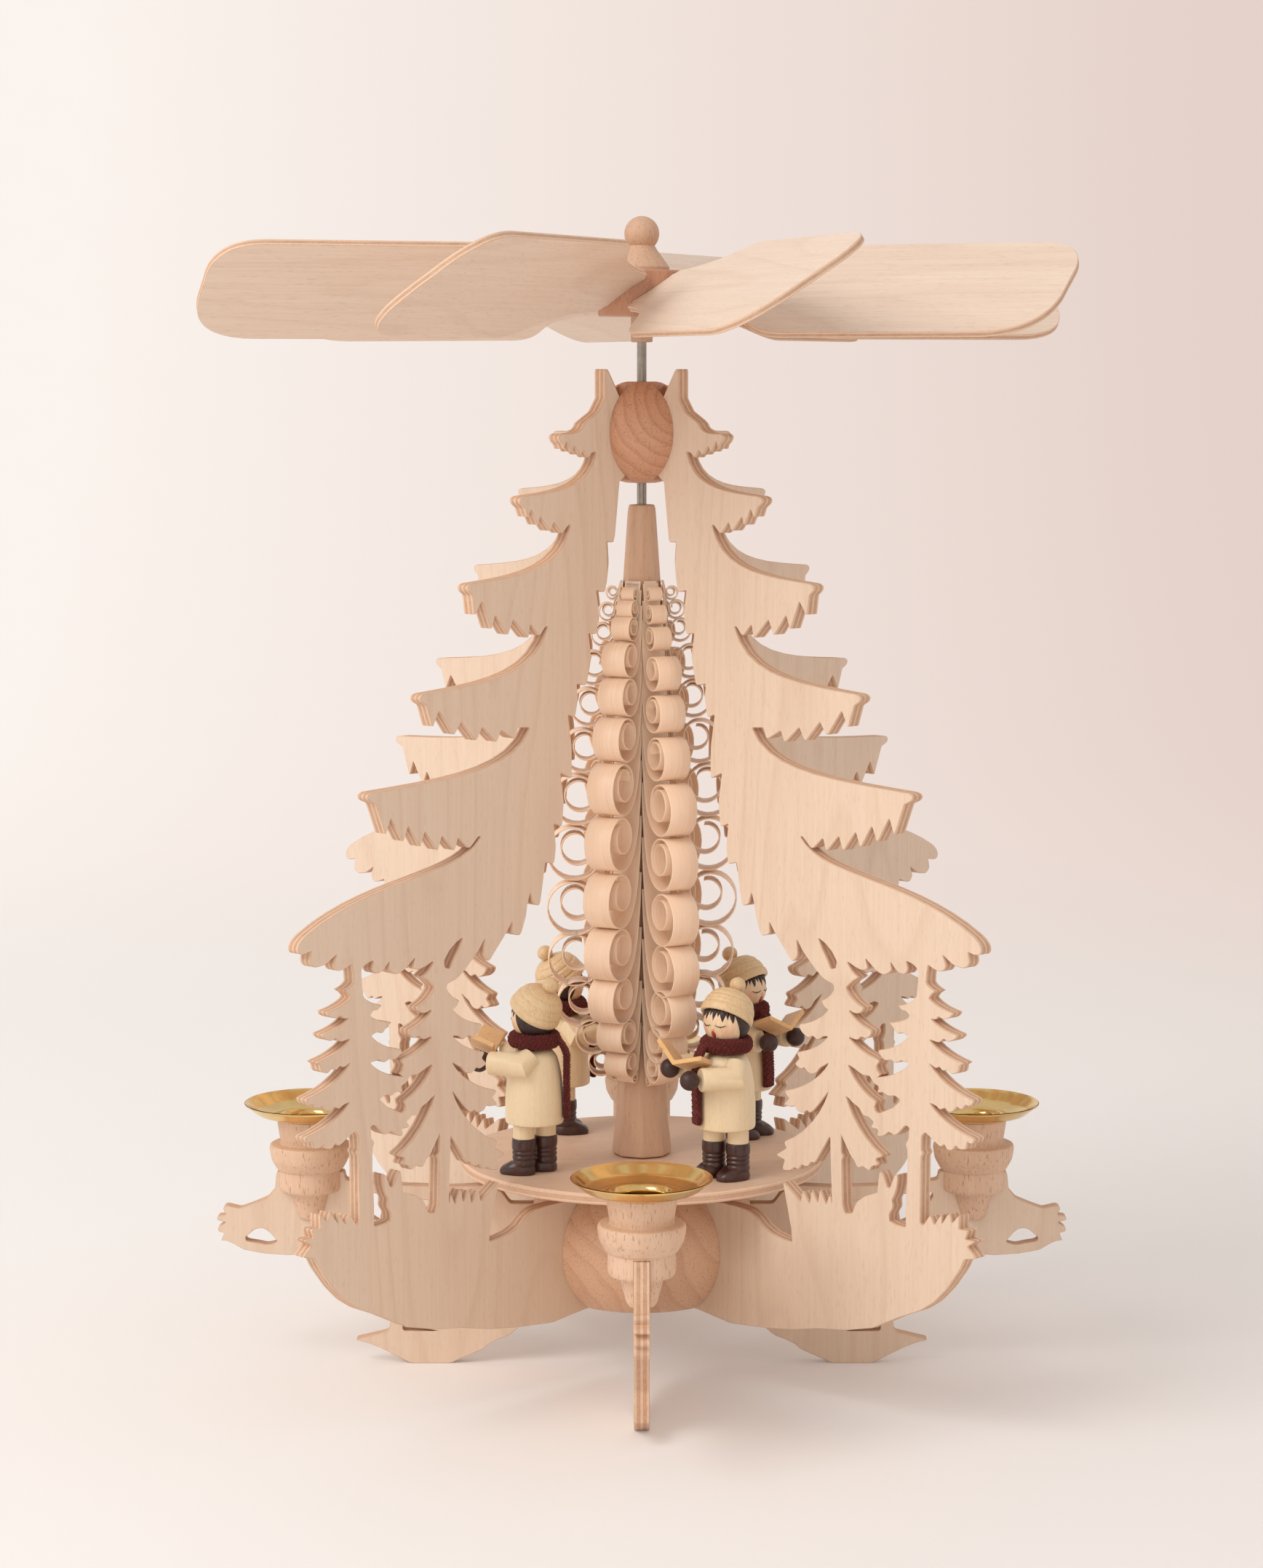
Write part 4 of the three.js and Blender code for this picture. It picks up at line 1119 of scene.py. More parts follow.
def carved(thing: Thing, cutters: Sequence[Form]) -> Thing:
    """Cuts slots out of a piece and keeps the result as plain mesh.

    Args:
        thing: The piece, at the origin.
        cutters: Forms in millimetres, clear of each other.

    Returns:
        The piece.
    """
    for number, cutter in enumerate(cutters):
        knife = finish_mesh(f"{thing.name}_knife_{number}", cutter, [])
        cut = thing.modifiers.new("slot", "BOOLEAN")
        cut.operation = "DIFFERENCE"
        cut.solver = "EXACT"
        cut.object = knife
        evaluated = thing.evaluated_get(bpy.context.evaluated_depsgraph_get())
        mesh = bpy.data.meshes.new_from_object(evaluated)
        thing.modifiers.clear()
        old, thing.data = thing.data, mesh
        bpy.data.meshes.remove(old)
        blade = knife.data
        bpy.data.objects.remove(knife)
        bpy.data.meshes.remove(blade)
    thing.data.polygons.foreach_set("use_smooth", [True] * len(thing.data.polygons))
    thing.data.set_sharp_from_angle(angle=radians(35))
    return thing


def spoke(angle: float) -> Matrix:
    """Gives the turn that takes local X to a spoke, measured from the front towards the right."""
    return Matrix.Rotation(radians(angle - 90), 4, "Z")


def place(thing: Thing, body: Body, slot: Slot, *nodes: str,
          matrix: Matrix | None = None) -> Thing:
    """Sets a finished piece in the frame.

    Args:
        thing: The piece.
        body: The body that it rides on.
        slot: Not used.
        *nodes: The CAD nodes that it stands for.
        matrix: Its place, or none for the origin.

    Returns:
        The piece.
    """
    if matrix is not None:
        thing.matrix_world = matrix
    bpy.context.view_layer.update()
    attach(thing, body.value)
    if nodes:
        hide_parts(*nodes)
    LOG.info("%s rides on %s: %d faces", thing.name, body.value, len(thing.data.polygons))
    return thing


@dataclass(frozen=True)
class Bough:
    """One bough of a small fir: swept on top, lobed below."""

    notch: Point
    tip: Point
    under: Line = ()

    def edge(self) -> list[Point]:
        """Draws the bough.

        Returns:
            The outline from its notch, over the tip and back along its lobes.
        """
        run, fall = self.tip[0] - self.notch[0], self.tip[1] - self.notch[1]
        first = (self.notch[0] + 0.14 * run, self.notch[1] + 0.38 * fall)
        second = (self.notch[0] + 0.52 * run, self.notch[1] + 0.82 * fall)
        return [self.notch, *curve(self.notch, first, second, self.tip, 6), *self.under]


def fir_side(boughs: Sequence[Bough], end: Point) -> list[Point]:
    """Strings boughs together from the top down.

    Args:
        boughs: The boughs.
        end: Where the last one meets the trunk.

    Returns:
        The outline of one side of the fir.
    """
    return [point for bough in boughs for point in bough.edge()] + [end]


@dataclass
class TreePanel:
    """A fir over two small firs, a hill and a rabbit, sawn from one sheet of birch plywood."""

    thickness: float = SHEET
    spike: Line = ((20.4, 374), (21.6, 374), (21.6, 363.5), (25, 358.6), (32, 354.6))
    tips: Line = ((45, 350), (64.3, 328), (89.5, 298), (112, 260.5), (136.5, 228))
    notches: Line = ((26, 344), (39, 318), (50.5, 282), (59.5, 246), (83.6, 209))
    lobes: tuple[Line, ...] = (
        ((42, 345), (41, 348.4), (38.4, 343.8), (37, 346.6), (34, 342.8), (32.4, 345), (30, 341.8),
         (28.6, 343.6)),
        ((60, 321), (58.4, 324.4), (55, 318), (54, 321.6), (49, 315.8), (47.4, 319.4), (43.4, 314.8)),
        ((86, 287.4), (82.4, 292.6), (78, 282), (76, 287.4), (70, 279.6), (67.4, 285.4), (60, 278),
         (59, 283.2), (54.6, 278.6)),
        ((106, 249.2), (103, 255.2), (96, 245.8), (92.6, 250.6), (85.6, 243), (82.6, 248), (75.6, 241.8),
         (73.6, 246.2), (66.6, 242.4), (65.2, 246.6)),
        ((128, 213.4), (125.6, 219.4), (120, 210.2), (117.6, 216), (112.2, 207.6), (110, 213.2), (104, 205.6),
         (102, 211), (96, 204.8), (94.4, 209.6), (89.2, 205)),
    )
    low_bough: Line = ((84, 209), (92, 196), (134, 200), (164.6, 182.4))
    low_needles: Line = (
        (167, 180.4), (168, 178.4), (167.4, 176.6), (165, 176.2), (161.8, 177), (162.8, 173),
        (160.6, 171), (155.4, 171.6), (150.6, 174.6), (152.4, 171), (150.6, 168.6), (147, 169),
        (144, 170.4), (143.4, 167))
    outer_out: tuple[Bough, ...] = (
        Bough((143.2, 164), (148, 161.6), ((145.8, 160.4),)),
        Bough((144.6, 158.8), (155.6, 155), ((154.2, 153.2), (151, 152.2), (149, 153), (147.6, 151.6))),
        Bough((145.6, 151.8), (157.8, 147.6), ((156.6, 146), (153.4, 144.6), (151.6, 145.6), (149.4, 143.8))),
        Bough((145, 144.4), (160.6, 138.2),
              ((158.6, 137.2), (158.2, 134.6), (155, 133.6), (153.4, 135), (151, 134.2), (149.6, 135.6),
               (148, 134.6))),
        Bough((145.2, 136), (165.4, 126),
              ((163.6, 123.6), (161.6, 124), (159.8, 121.8), (157.8, 122.8), (156, 120.8), (153.8, 120.2),
               (152.4, 121.6), (150, 120.4), (148.4, 121.6))),
        Bough((145.6, 122.2), (166, 112.8),
              ((164.6, 110.6), (162.4, 111.2), (162, 108.4), (159, 108), (157.4, 109.2), (155.8, 107.2),
               (153.4, 107), (152.2, 108.8), (150.4, 107.4), (147.8, 109))))
    outer_out_end: Point = (143.4, 111.6)
    outer_foot: Line = ((141.8, 110), (141.6, 105), (142.6, 104), (141.6, 102.6), (141.5, 79))
    outer_in_high: tuple[Bough, ...] = (
        Bough((138.8, 158.4), (130.2, 154.4), ((132.4, 152.8), (134, 153))),
        Bough((136, 151.4), (125.8, 147.8), ((128.2, 146.4), (130.2, 144.2), (132.6, 145.2))),
        Bough((135.4, 144.2), (121, 137.4),
              ((122.4, 135.4), (125, 134), (127, 135), (129.4, 133.8), (132.2, 135.2))),
        Bough((136, 134.8), (121.2, 127.8)))
    inner_out_high: tuple[Bough, ...] = (
        Bough((106.4, 167), (112, 162), ((109, 160.4),)),
        Bough((105.8, 157.6), (114.4, 151.4), ((113, 149.4), (110.4, 148.8))),
        Bough((107.4, 149.8), (118, 144), ((117.8, 142), (115.2, 140.4), (113.6, 141.4), (111.4, 139.4))),
        Bough((107.4, 140.2), (122.4, 133.8), ((120.4, 131.8), (121.2, 129.8), (122.6, 128.8))))
    inner_out_middle: tuple[Bough, ...] = (
        Bough((107.2, 130.2), (120.8, 119), ((119.6, 117.2), (120.4, 115.2))),)
    middle_back: Line = (
        (124, 116), (128.4, 118), (132, 121.2), (129.2, 122.4), (126.4, 121.6), (124, 122.8),
        (120.8, 122), (122, 124.4), (119, 125.4), (117.8, 127.6), (114, 127.4), (110.6, 129))
    inner_out_low: tuple[Bough, ...] = (
        Bough((106, 119.6), (124.2, 100),
              ((120.4, 98.4), (122.2, 96.4), (118.8, 95.6), (117.6, 93.4), (115, 95), (112, 93.6),
               (110.4, 96.2), (108.2, 98))),)
    low_back: Line = (
        (135.4, 97), (135.2, 104.6), (134.2, 106), (135.8, 108), (136, 112.4), (134, 112.4),
        (131.6, 109.6), (129.2, 108), (127, 109.4), (124, 107), (121, 106.6), (121.8, 109.2),
        (117.8, 109.2), (119.6, 111.4), (116.6, 113.2), (114.6, 112.8), (112.4, 115.6), (109, 117))
    inner_in: tuple[Bough, ...] = (
        Bough((100.2, 156.4), (94, 151.4), ((95.6, 149.2),)),
        Bough((97.4, 148.6), (83, 141.4),
              ((84.4, 138.8), (88, 137), (90, 138.2), (92.6, 136.8), (95, 138.6))),
        Bough((97.4, 139), (82, 131.2),
              ((83.6, 129), (81, 126.6), (84.8, 125.2), (86, 126.2), (88.2, 124.2), (91.6, 124.6),
               (93.6, 127))),
        Bough((97.8, 129.4), (76, 116.2),
              ((78.6, 113.8), (75.8, 111), (80, 110.8), (81.4, 111.6), (82.6, 109.8), (85.8, 109.4),
               (87.4, 110.8), (89, 109.8), (92, 112.4))),
        Bough((97.8, 119), (76, 97.6),
              ((77.4, 95.4), (72, 92), (76.6, 91), (75.2, 87), (79.6, 87.4), (81.6, 89), (83.4, 88.2),
               (85, 90.6), (87.8, 90), (89.8, 92.4), (91.4, 92), (93.4, 95))))
    grass: Line = (
        (143, 78.6), (146, 83), (148, 79.6), (151.4, 84.4), (151.4, 80.6), (154.8, 85.4), (156, 81.6),
        (159.4, 85.4), (159.2, 80), (163.4, 80.4), (162, 77), (166.5, 77), (163, 74.6), (167.2, 71),
        (162, 70), (160, 66))
    hill: Line = (
        (154, 58), (148, 52), (142, 48), (132, 43.6), (120, 37.4), (107, 34), (94, 32), (81, 29), (68, 27),
        (58, 26), (49, 25.2), (33, 27), (26.2, 27.4), (26.2, 69.8), (46, 69.8), (53, 69.7),
        (58.6, 69.2), (62.6, 67.4), (66, 64.6), (70, 62.8), (75, 61.8), (80.4, 61.4), (80, 66), (75.6, 83))
    inner_grass: Line = (
        (84.6, 77), (85.4, 81.6), (89, 77), (90, 82.4), (93, 78), (94, 83.4), (97, 78), (99, 83), (99.8, 79))
    slit: Line = (
        (99.8, 158), (95, 159.4), (91, 162.4), (85, 168), (82, 172), (82.6, 166), (80, 163.4))
    teeth: Line = (
        (70.6, 173.9), (68.5, 176.8), (68.8, 172.2), (64.4, 171.2), (61.6, 178), (61, 182), (59.5, 186.4),
        (58.3, 182), (54.8, 181), (53.6, 187), (52, 196.6), (47.5, 195.6), (46.6, 202), (47.7, 210.3),
        (43.5, 208.8), (42.6, 218), (44.3, 228.5), (38.5, 226), (38.6, 238), (40.5, 249.5), (36.8, 248.3),
        (35.4, 255), (36, 260.5), (31, 259.5), (28.6, 270), (30, 278.5), (25.8, 278), (24.6, 286),
        (26, 294), (21.4, 293), (20, 302), (20.8, 311.5), (16.9, 311), (14.2, 333))
    top_tongue: Line = ((9, 337), (9, 362), (14, 364))
    under_low_bough: Line = (
        (139.4, 164), (139.6, 168), (137.4, 169.6), (134, 170.6), (135, 167.6), (133.4, 165.6),
        (130, 166), (126.4, 169.6), (127.6, 166.4), (124, 164.2), (120.6, 165), (114.6, 169.4),
        (116.4, 165.6), (113.4, 164.6), (110.4, 165.4))
    leaf_hole: Line = (
        (92.4, 173.8), (94.4, 170), (97.2, 166), (98.6, 163.4), (100.8, 163.6), (101.4, 166.4),
        (99, 169.6), (95.8, 172.2))
    rabbit_gap: Line = (
        (104.2, 98), (105.4, 97), (104.4, 95.6), (105, 79), (106, 76.4), (109.6, 77), (111.4, 81.4),
        (116, 84.6), (121.4, 86.2), (121.8, 90.6), (122.4, 94.6), (124, 93.6), (126.2, 89), (127.4, 89.4),
        (129.2, 93.8), (131, 94.8), (130.8, 91), (129.8, 87.4), (128.2, 84.8), (129, 82.6), (127.2, 80),
        (127, 77.4), (130, 76.6), (134.8, 76.4), (134.8, 84))

    def gaps(self) -> list[list[Point]]:
        """Draws the openings in the sheet, between the small firs.

        Returns:
            The upper, middle and lower opening and the hole by the inner fir's top.
        """
        upper = [*self.under_low_bough, *fir_side(self.inner_out_high, (121, 127.6))]
        upper += reversed(fir_side(self.outer_in_high, (121.2, 127.8))[:-1])
        middle = [*fir_side(self.inner_out_middle, (122, 115)), *self.middle_back]
        lower = [*fir_side(self.inner_out_low, (104.2, 105.4)), *self.rabbit_gap, *self.low_back]
        return [upper, middle, lower, list(self.leaf_hole)]

    def outline(self) -> list[Point]:
        """Draws the outline from the spike, down the outer side and up the inner one.

        Returns:
            The outline as radius and height.
        """
        points: list[Point] = list(self.spike)
        start = self.spike[-1]
        for tip, notch, lobes in zip(self.tips, self.notches, self.lobes):
            run, drop = tip[0] - start[0], tip[1] - start[1]
            points += curve(start, (start[0] + 0.1 * run, start[1] + 0.8 * drop),
                            (start[0] + 0.48 * run, start[1] + 0.85 * drop), (tip[0] - 1.6, tip[1] + 1.0), 9)
            points += [tip, (tip[0] - 0.6, tip[1] - 1.6)]
            points.append((tip[0] - 0.3 * (tip[0] - lobes[0][0]) - 1.4, tip[1] - 3.0))
            points += [*lobes, (notch[0] + 0.8, notch[1] + 0.3), notch]
            start = notch
        points += curve(*self.low_bough, steps=14)
        points += [*self.low_needles, *fir_side(self.outer_out, self.outer_out_end), *self.outer_foot]
        points += [*self.grass, *self.hill, *self.inner_grass]
        points += reversed(fir_side(self.inner_in, (98.7, 103)))
        return [*points, *self.slit, *self.teeth, *self.top_tongue]

    def build(self) -> None:
        """Saws the four panels and stands them between the two balls."""
        outer = round_corners(self.outline(), 1.5, notch=0.5)
        holes = [round_corners(gap, 0.5, notch=1.5) for gap in self.gaps()]
        for number, angle in enumerate(PANEL_ANGLES, start=1):
            form = plate_form(outer, holes, self.thickness)
            thing = finish_mesh(f"birch_panel_{number}", form, thick_ply(number))
            place(thing, Body.STAND, Slot.BIRCH, f"tree_panel_{number}", matrix=spoke(angle))


@dataclass
class CandleArm:
    """An arm that ends in a clawed root, its turned holder and its brass tray."""

    radius: float = 125.0
    thickness: float = SHEET
    plate_top: float = 74.1
    holder_bottom: float = 55.5
    holder_top: float = 94.3
    socket_radius: float = 8.75
    socket_depth: float = 14.0
    sheet: float = 0.5
    seat_gap: float = 0.3
    slot_gap: float = 0.15
    tray_radius: float = 24.2
    root: Line = (
        (137.5, 74.1), (138.2, 67.3), (141.1, 63.8), (146.9, 61.4), (151.3, 59.8), (156.7, 61.1), (158, 59.9),
        (156.4, 57.3), (159.9, 57), (160.3, 55.4), (156.6, 54.6), (159.9, 52.6), (159.9, 51), (157.3, 50.5),
        (158.9, 47.5), (157, 47.6), (154, 46.3), (150.3, 44), (142.5, 42.5), (133.3, 41.9), (128, 42.2))
    foot: Line = (
        (95, 16.5), (96, 12.2), (108.5, 9.2), (104, 8), (99, 6), (95, 4), (87.6, 0), (72.4, 0), (68, 2),
        (60, 5.5), (58, 7.5), (54, 9.5), (51, 10.5))
    inner: Line = (
        (26.2, 61.8), (49.6, 61.8), (53, 66.6), (60, 68.8), (72, 68.2), (90, 68.8), (106, 70),
        (111.6, 71), (112, 74.1))
    eye: Line = (
        (137.1, 46.9), (140.7, 51.1), (143, 52.4), (145.9, 52), (150, 48.4), (148.8, 47.2), (144.8, 46.6),
        (141.3, 45.8))
    wedge: Line = ((90.5, 15.5), (76, 12.2), (90.4, 12.6))
    window: Line = (
        (74, 52), (70, 57), (77, 62.6), (108, 66.6), (110.4, 65.4), (107, 60), (98, 54))

    def outline(self) -> list[Point]:
        """Draws the arm from its plate, round the root and the foot, to the ball.

        Returns:
            The outline as radius and height.
        """
        points = [*self.root, *curve(self.root[-1], (112, 42), (101, 30), self.foot[0], 10)]
        points += [*self.foot[1:], *curve(self.foot[-1], (46, 13), (43, 20), (35, 27.4), 8)]
        return [*points, (26.2, 27.4), *self.inner]

    def holder_profile(self) -> list[Point]:
        """Gives the profile of the turned holder, bored for the tray's socket.

        Returns:
            Radius and height pairs.
        """
        bore = self.socket_radius + self.sheet + 1.5 * self.seat_gap
        floor = self.holder_top - self.socket_depth - self.sheet - 2 * self.seat_gap
        low, top = self.holder_bottom, self.holder_top
        outside = [(0, low), (4.4, low), (5.4, low + 1.7), (7.7, low + 10.7), (11.2, low + 11.1),
                   (11.7, low + 12.5), (11.7, 73.6), (11.6, 74.8), (12.6, 75.2), (14.6, 79), (15.25, 83),
                   (14.9, 84.6), (10.95, 84.8), (11.3, 87), (12.35, top - 0.3), (12.2, top),
                   (bore + 0.2, top), (bore, top - 0.3)]
        return [*round_corners(outside, 0.8, 4, closed=False), (bore, floor), (0, floor)]

    def tray_profile(self) -> list[Point]:
        """Gives the profile of the pressed brass tray, down its upper side and back up its lower one.

        Returns:
            Radius and height pairs.
        """
        rest = self.holder_top + self.seat_gap
        floor = self.holder_top - self.socket_depth
        socket, rim = self.socket_radius, self.tray_radius
        upper = [(rim - 0.1, rest + 5.9), (rim - 1.2, rest + 5.2), (19.5, rest + 2.3), (14.6, rest + 0.75),
                 (12.6, rest + 0.55), (11.4, rest + 1.25), (10.2, rest + 1.25), (socket, rest - 0.2),
                 (socket, floor + 1.2), (socket - 1.2, floor), (0, floor)]
        lower = [(0, floor - self.sheet), (socket - 1.0, floor - self.sheet),
                 (socket + self.sheet, floor + 0.9), (socket + self.sheet, rest - 0.1),
                 (10.4, rest + 0.6), (11.3, rest + 0.6), (12.5, rest), (14.7, rest + 0.2),
                 (19.7, rest + 1.75), (rim - 0.9, rest + 4.7), (rim + 0.1, rest + 5.4)]
        path = round_corners(upper, 1.0, 4, closed=False) + round_corners(lower, 1.0, 4, closed=False)
        return path + [(rim + 0.18, rest + 5.7)]

    def build(self) -> None:
        """Makes the four arms with what each carries."""
        outer = round_corners(self.outline(), 1.1)
        holes = [round_corners(hole, radius)
                 for hole, radius in ((self.eye, 1.4), (self.wedge, 0.8), (self.window, 2.4))]
        beech = WoodFinish("holder_beech", srgb(230, 196, 168), srgb(208, 166, 136), srgb(152, 106, 78),
                           ring_lines=7, streak_strength=0.4, fleck_amount=0.5, fleck_fine=1.7, roughness=0.6)
        brass = MetalFinish("tray_brass", srgb(233, 200, 134), srgb(216, 176, 110), 0.16, spun=True)
        for number, angle in enumerate(ARM_ANGLES, start=1):
            turn = spoke(angle)
            arm = finish_mesh(f"root_arm_{number}", plate_form(outer, holes, self.thickness),
                              thick_ply(10 + number))
            place(arm, Body.STAND, Slot.BIRCH, f"candle_arm_{number}", matrix=turn)
            seat = turn @ Matrix.Translation((self.radius * MM, 0, 0))
            holder = finish_mesh(f"turned_holder_{number}", lathe_form(self.holder_profile(), 96), [beech])
            half = self.thickness / 2 + self.slot_gap
            carved(holder, [box_form((-30, -half, 40), (30, half, self.plate_top + self.slot_gap))])
            place(holder, Body.STAND, Slot.BEECH, f"candle_holder_{number}", matrix=seat)
            form = lathe_form(self.tray_profile(), 128)
            tray = finish_mesh(f"brass_tray_{number}", form, [brass], crease=50)
            place(tray, Body(f"tray_{number}"), Slot.BRASS, f"drip_tray_{number}", matrix=seat)


@dataclass
class Axle:
    """The two slotted balls, the bearings, the steel axle and the turntable."""

    ball_radius: float = 44.3
    ball_centre: float = 49.8
    ball_squash: float = 0.72
    ball_low: float = 27.0
    ball_high: float = 73.0
    cup_bore: float = 6.0
    cup_floor: float = 33.7
    panel_slot_top: float = 70.2
    arm_slot_top: float = 62.2
    slot_half: float = SHEET / 2 + 0.1
    slot_inner: float = 25.8
    slot_outer: float = 50.0
    slot_bottom: float = 20.0
    top_radius: float = 19.5
    top_centre: float = 351.0
    top_half: float = 18.5
    top_bore: float = 4.3
    top_slot_inner: float = 8.8
    top_slot_outer: float = 22.0
    top_slot_ends: tuple[float, float] = (330.0, 371.0)
    table_radius: float = 68.0
    table_bottom: float = 76.5
    table_top: float = 80.5
    table_bore: float = AXLE_BORE
    rod_radius: float = 1.75
    rod_top: float = 404.0

    def ball(self, radius: float, centre: float, squash: float, low: float, high: float, bore: float,
             floor: float | None) -> list[Point]:
        """Gives a ball's profile, cut flat at both ends and bored from above.

        Args:
            radius: Its radius at the middle.
            centre: The height of its middle.
            squash: Its height against its width.
            low: Where it is cut flat below.
            high: Where it is cut flat above.
            bore: The radius of the bore.
            floor: Where the bore ends, or none where it goes through.

        Returns:
            The profile.
        """
        start = asin((low - centre) / (radius * squash))
        end = asin((high - centre) / (radius * squash))
        side = arc(radius, centre, start, end, 40, squash)
        side[0] = (side[0][0] - 0.7, low)
        side[-1] = (side[-1][0] - 0.7, high)
        if floor is None:
            return [(bore, low), *side, (bore, high)]
        return [(0, low), *side, (bore, high), (bore, floor), (0, floor)]

    def slots(self, angles: Sequence[float], inner: float, outer: float, low: float,
              high: float) -> list[Form]:
        """Gives the cutters for upright plates.

        Args:
            angles: The spokes.
            inner: The slots' inner radius.
            outer: Their outer radius.
            low: Their lower end.
            high: Their upper end.

        Returns:
            One cutter for each spoke.
        """
        cutters = []
        for angle in angles:
            form = box_form((inner, -self.slot_half, low), (outer, self.slot_half, high))
            bmesh.ops.transform(form, matrix=spoke(angle), verts=form.verts)
            cutters.append(form)
        return cutters

    def build(self) -> None:
        """Makes the balls, then the rod with its bearings, and the table."""
        base = TurnedFinish("base_ball_beech", pale=srgb(236, 196, 164), dark=srgb(205, 154, 120),
                            heart=(-95, -30, -10), ring_width=7.5, ring_strength=0.5)
        profile = self.ball(self.ball_radius, self.ball_centre, self.ball_squash, self.ball_low,
                            self.ball_high, self.cup_bore, self.cup_floor)
        thing = finish_mesh("base_ball", lathe_form(profile, 144), [base])
        cutters = []
        for angles, high in ((PANEL_ANGLES, self.panel_slot_top), (ARM_ANGLES, self.arm_slot_top)):
            cutters += self.slots(angles, self.slot_inner, self.slot_outer, self.slot_bottom, high)
        carved(thing, cutters)
        place(thing, Body.STAND, Slot.BEECH, "base_hub")
        top = TurnedFinish("top_ball_beech", pale=srgb(220, 168, 134), dark=srgb(182, 124, 92),
                           ray=srgb(138, 88, 62), heart=(13, -19, 362), ring_width=4.2, ring_strength=0.6,
                           ray_amount=0.5)
        profile = self.ball(self.top_radius, self.top_centre, 1.0, self.top_centre - self.top_half,
                            self.top_centre + self.top_half, self.top_bore, None)
        thing = finish_mesh("bearing_ball", lathe_form(profile, 96, closed=True), [top])
        carved(thing, self.slots(PANEL_ANGLES, self.top_slot_inner, self.top_slot_outer,
                                 *self.top_slot_ends))
        place(thing, Body.STAND, Slot.BEECH, "top_ball")
        self.build_bearings()
        self.build_table()

    def build_bearings(self) -> None:
        """Turns the bush in the top ball, the cup in the base ball and the pointed rod between them."""
        steel = MetalFinish("drawn_steel", srgb(168, 160, 150), srgb(120, 110, 100), 0.3, spun=False)
        bush = [(2.1, 359.5), (4, 359.5), (4, 369.2), (3.8, 369.5), (2.3, 369.5), (2.1, 369.2)]
        cup = [(0, 34), (5.7, 34), (5.7, 40.7), (5.4, 41), (4.2, 41), (2.1, 40.6), (0, 36.5)]
        rod = [(0, 36.8), (self.rod_radius, 40.8), (self.rod_radius, self.rod_top - 0.3),
               (self.rod_radius - 0.3, self.rod_top), (0, self.rod_top)]
        for name, profile, closed, body, node in (
                ("steel_bush", bush, True, Body.STAND, "top_bush"),
                ("steel_cup", cup, False, Body.STAND, "bearing_cup"),
                ("steel_rod", rod, False, Body.CAROUSEL, "spindle")):
            place(finish_mesh(name, lathe_form(profile, 48, closed=closed), [steel]), body, Slot.STEEL, node)

    def build_table(self) -> None:
        """Makes the plywood turntable with its turned rim."""
        deck = WoodFinish("table_face", srgb(232, 200, 174), srgb(208, 168, 140), srgb(182, 138, 110),
                          grain=Grain.ALONG_X, seed=9, ring_lines=9, ring_strength=0.25, streak_strength=0.35)
        low, high, rim, bore = self.table_bottom, self.table_top, self.table_radius, self.table_bore
        edge = PlyEdgeFinish("table_rim", high - low, 3, across=2, middle=(low + high) / 2,
                             pale=srgb(240, 208, 180), dark=srgb(196, 146, 114))
        profile = [(bore, low), (rim - 0.6, low), (rim, low + 0.6), (rim, high - 0.6), (rim - 0.6, high),
                   (bore, high)]
        form = lathe_form(profile, 192, lambda radius, height: 1 if radius > rim - 0.5 else 0, closed=True)
        thing = finish_mesh("ply_turntable", form, [deck, edge], crease=30)
        place(thing, Body.CAROUSEL, Slot.TABLE, "turntable")


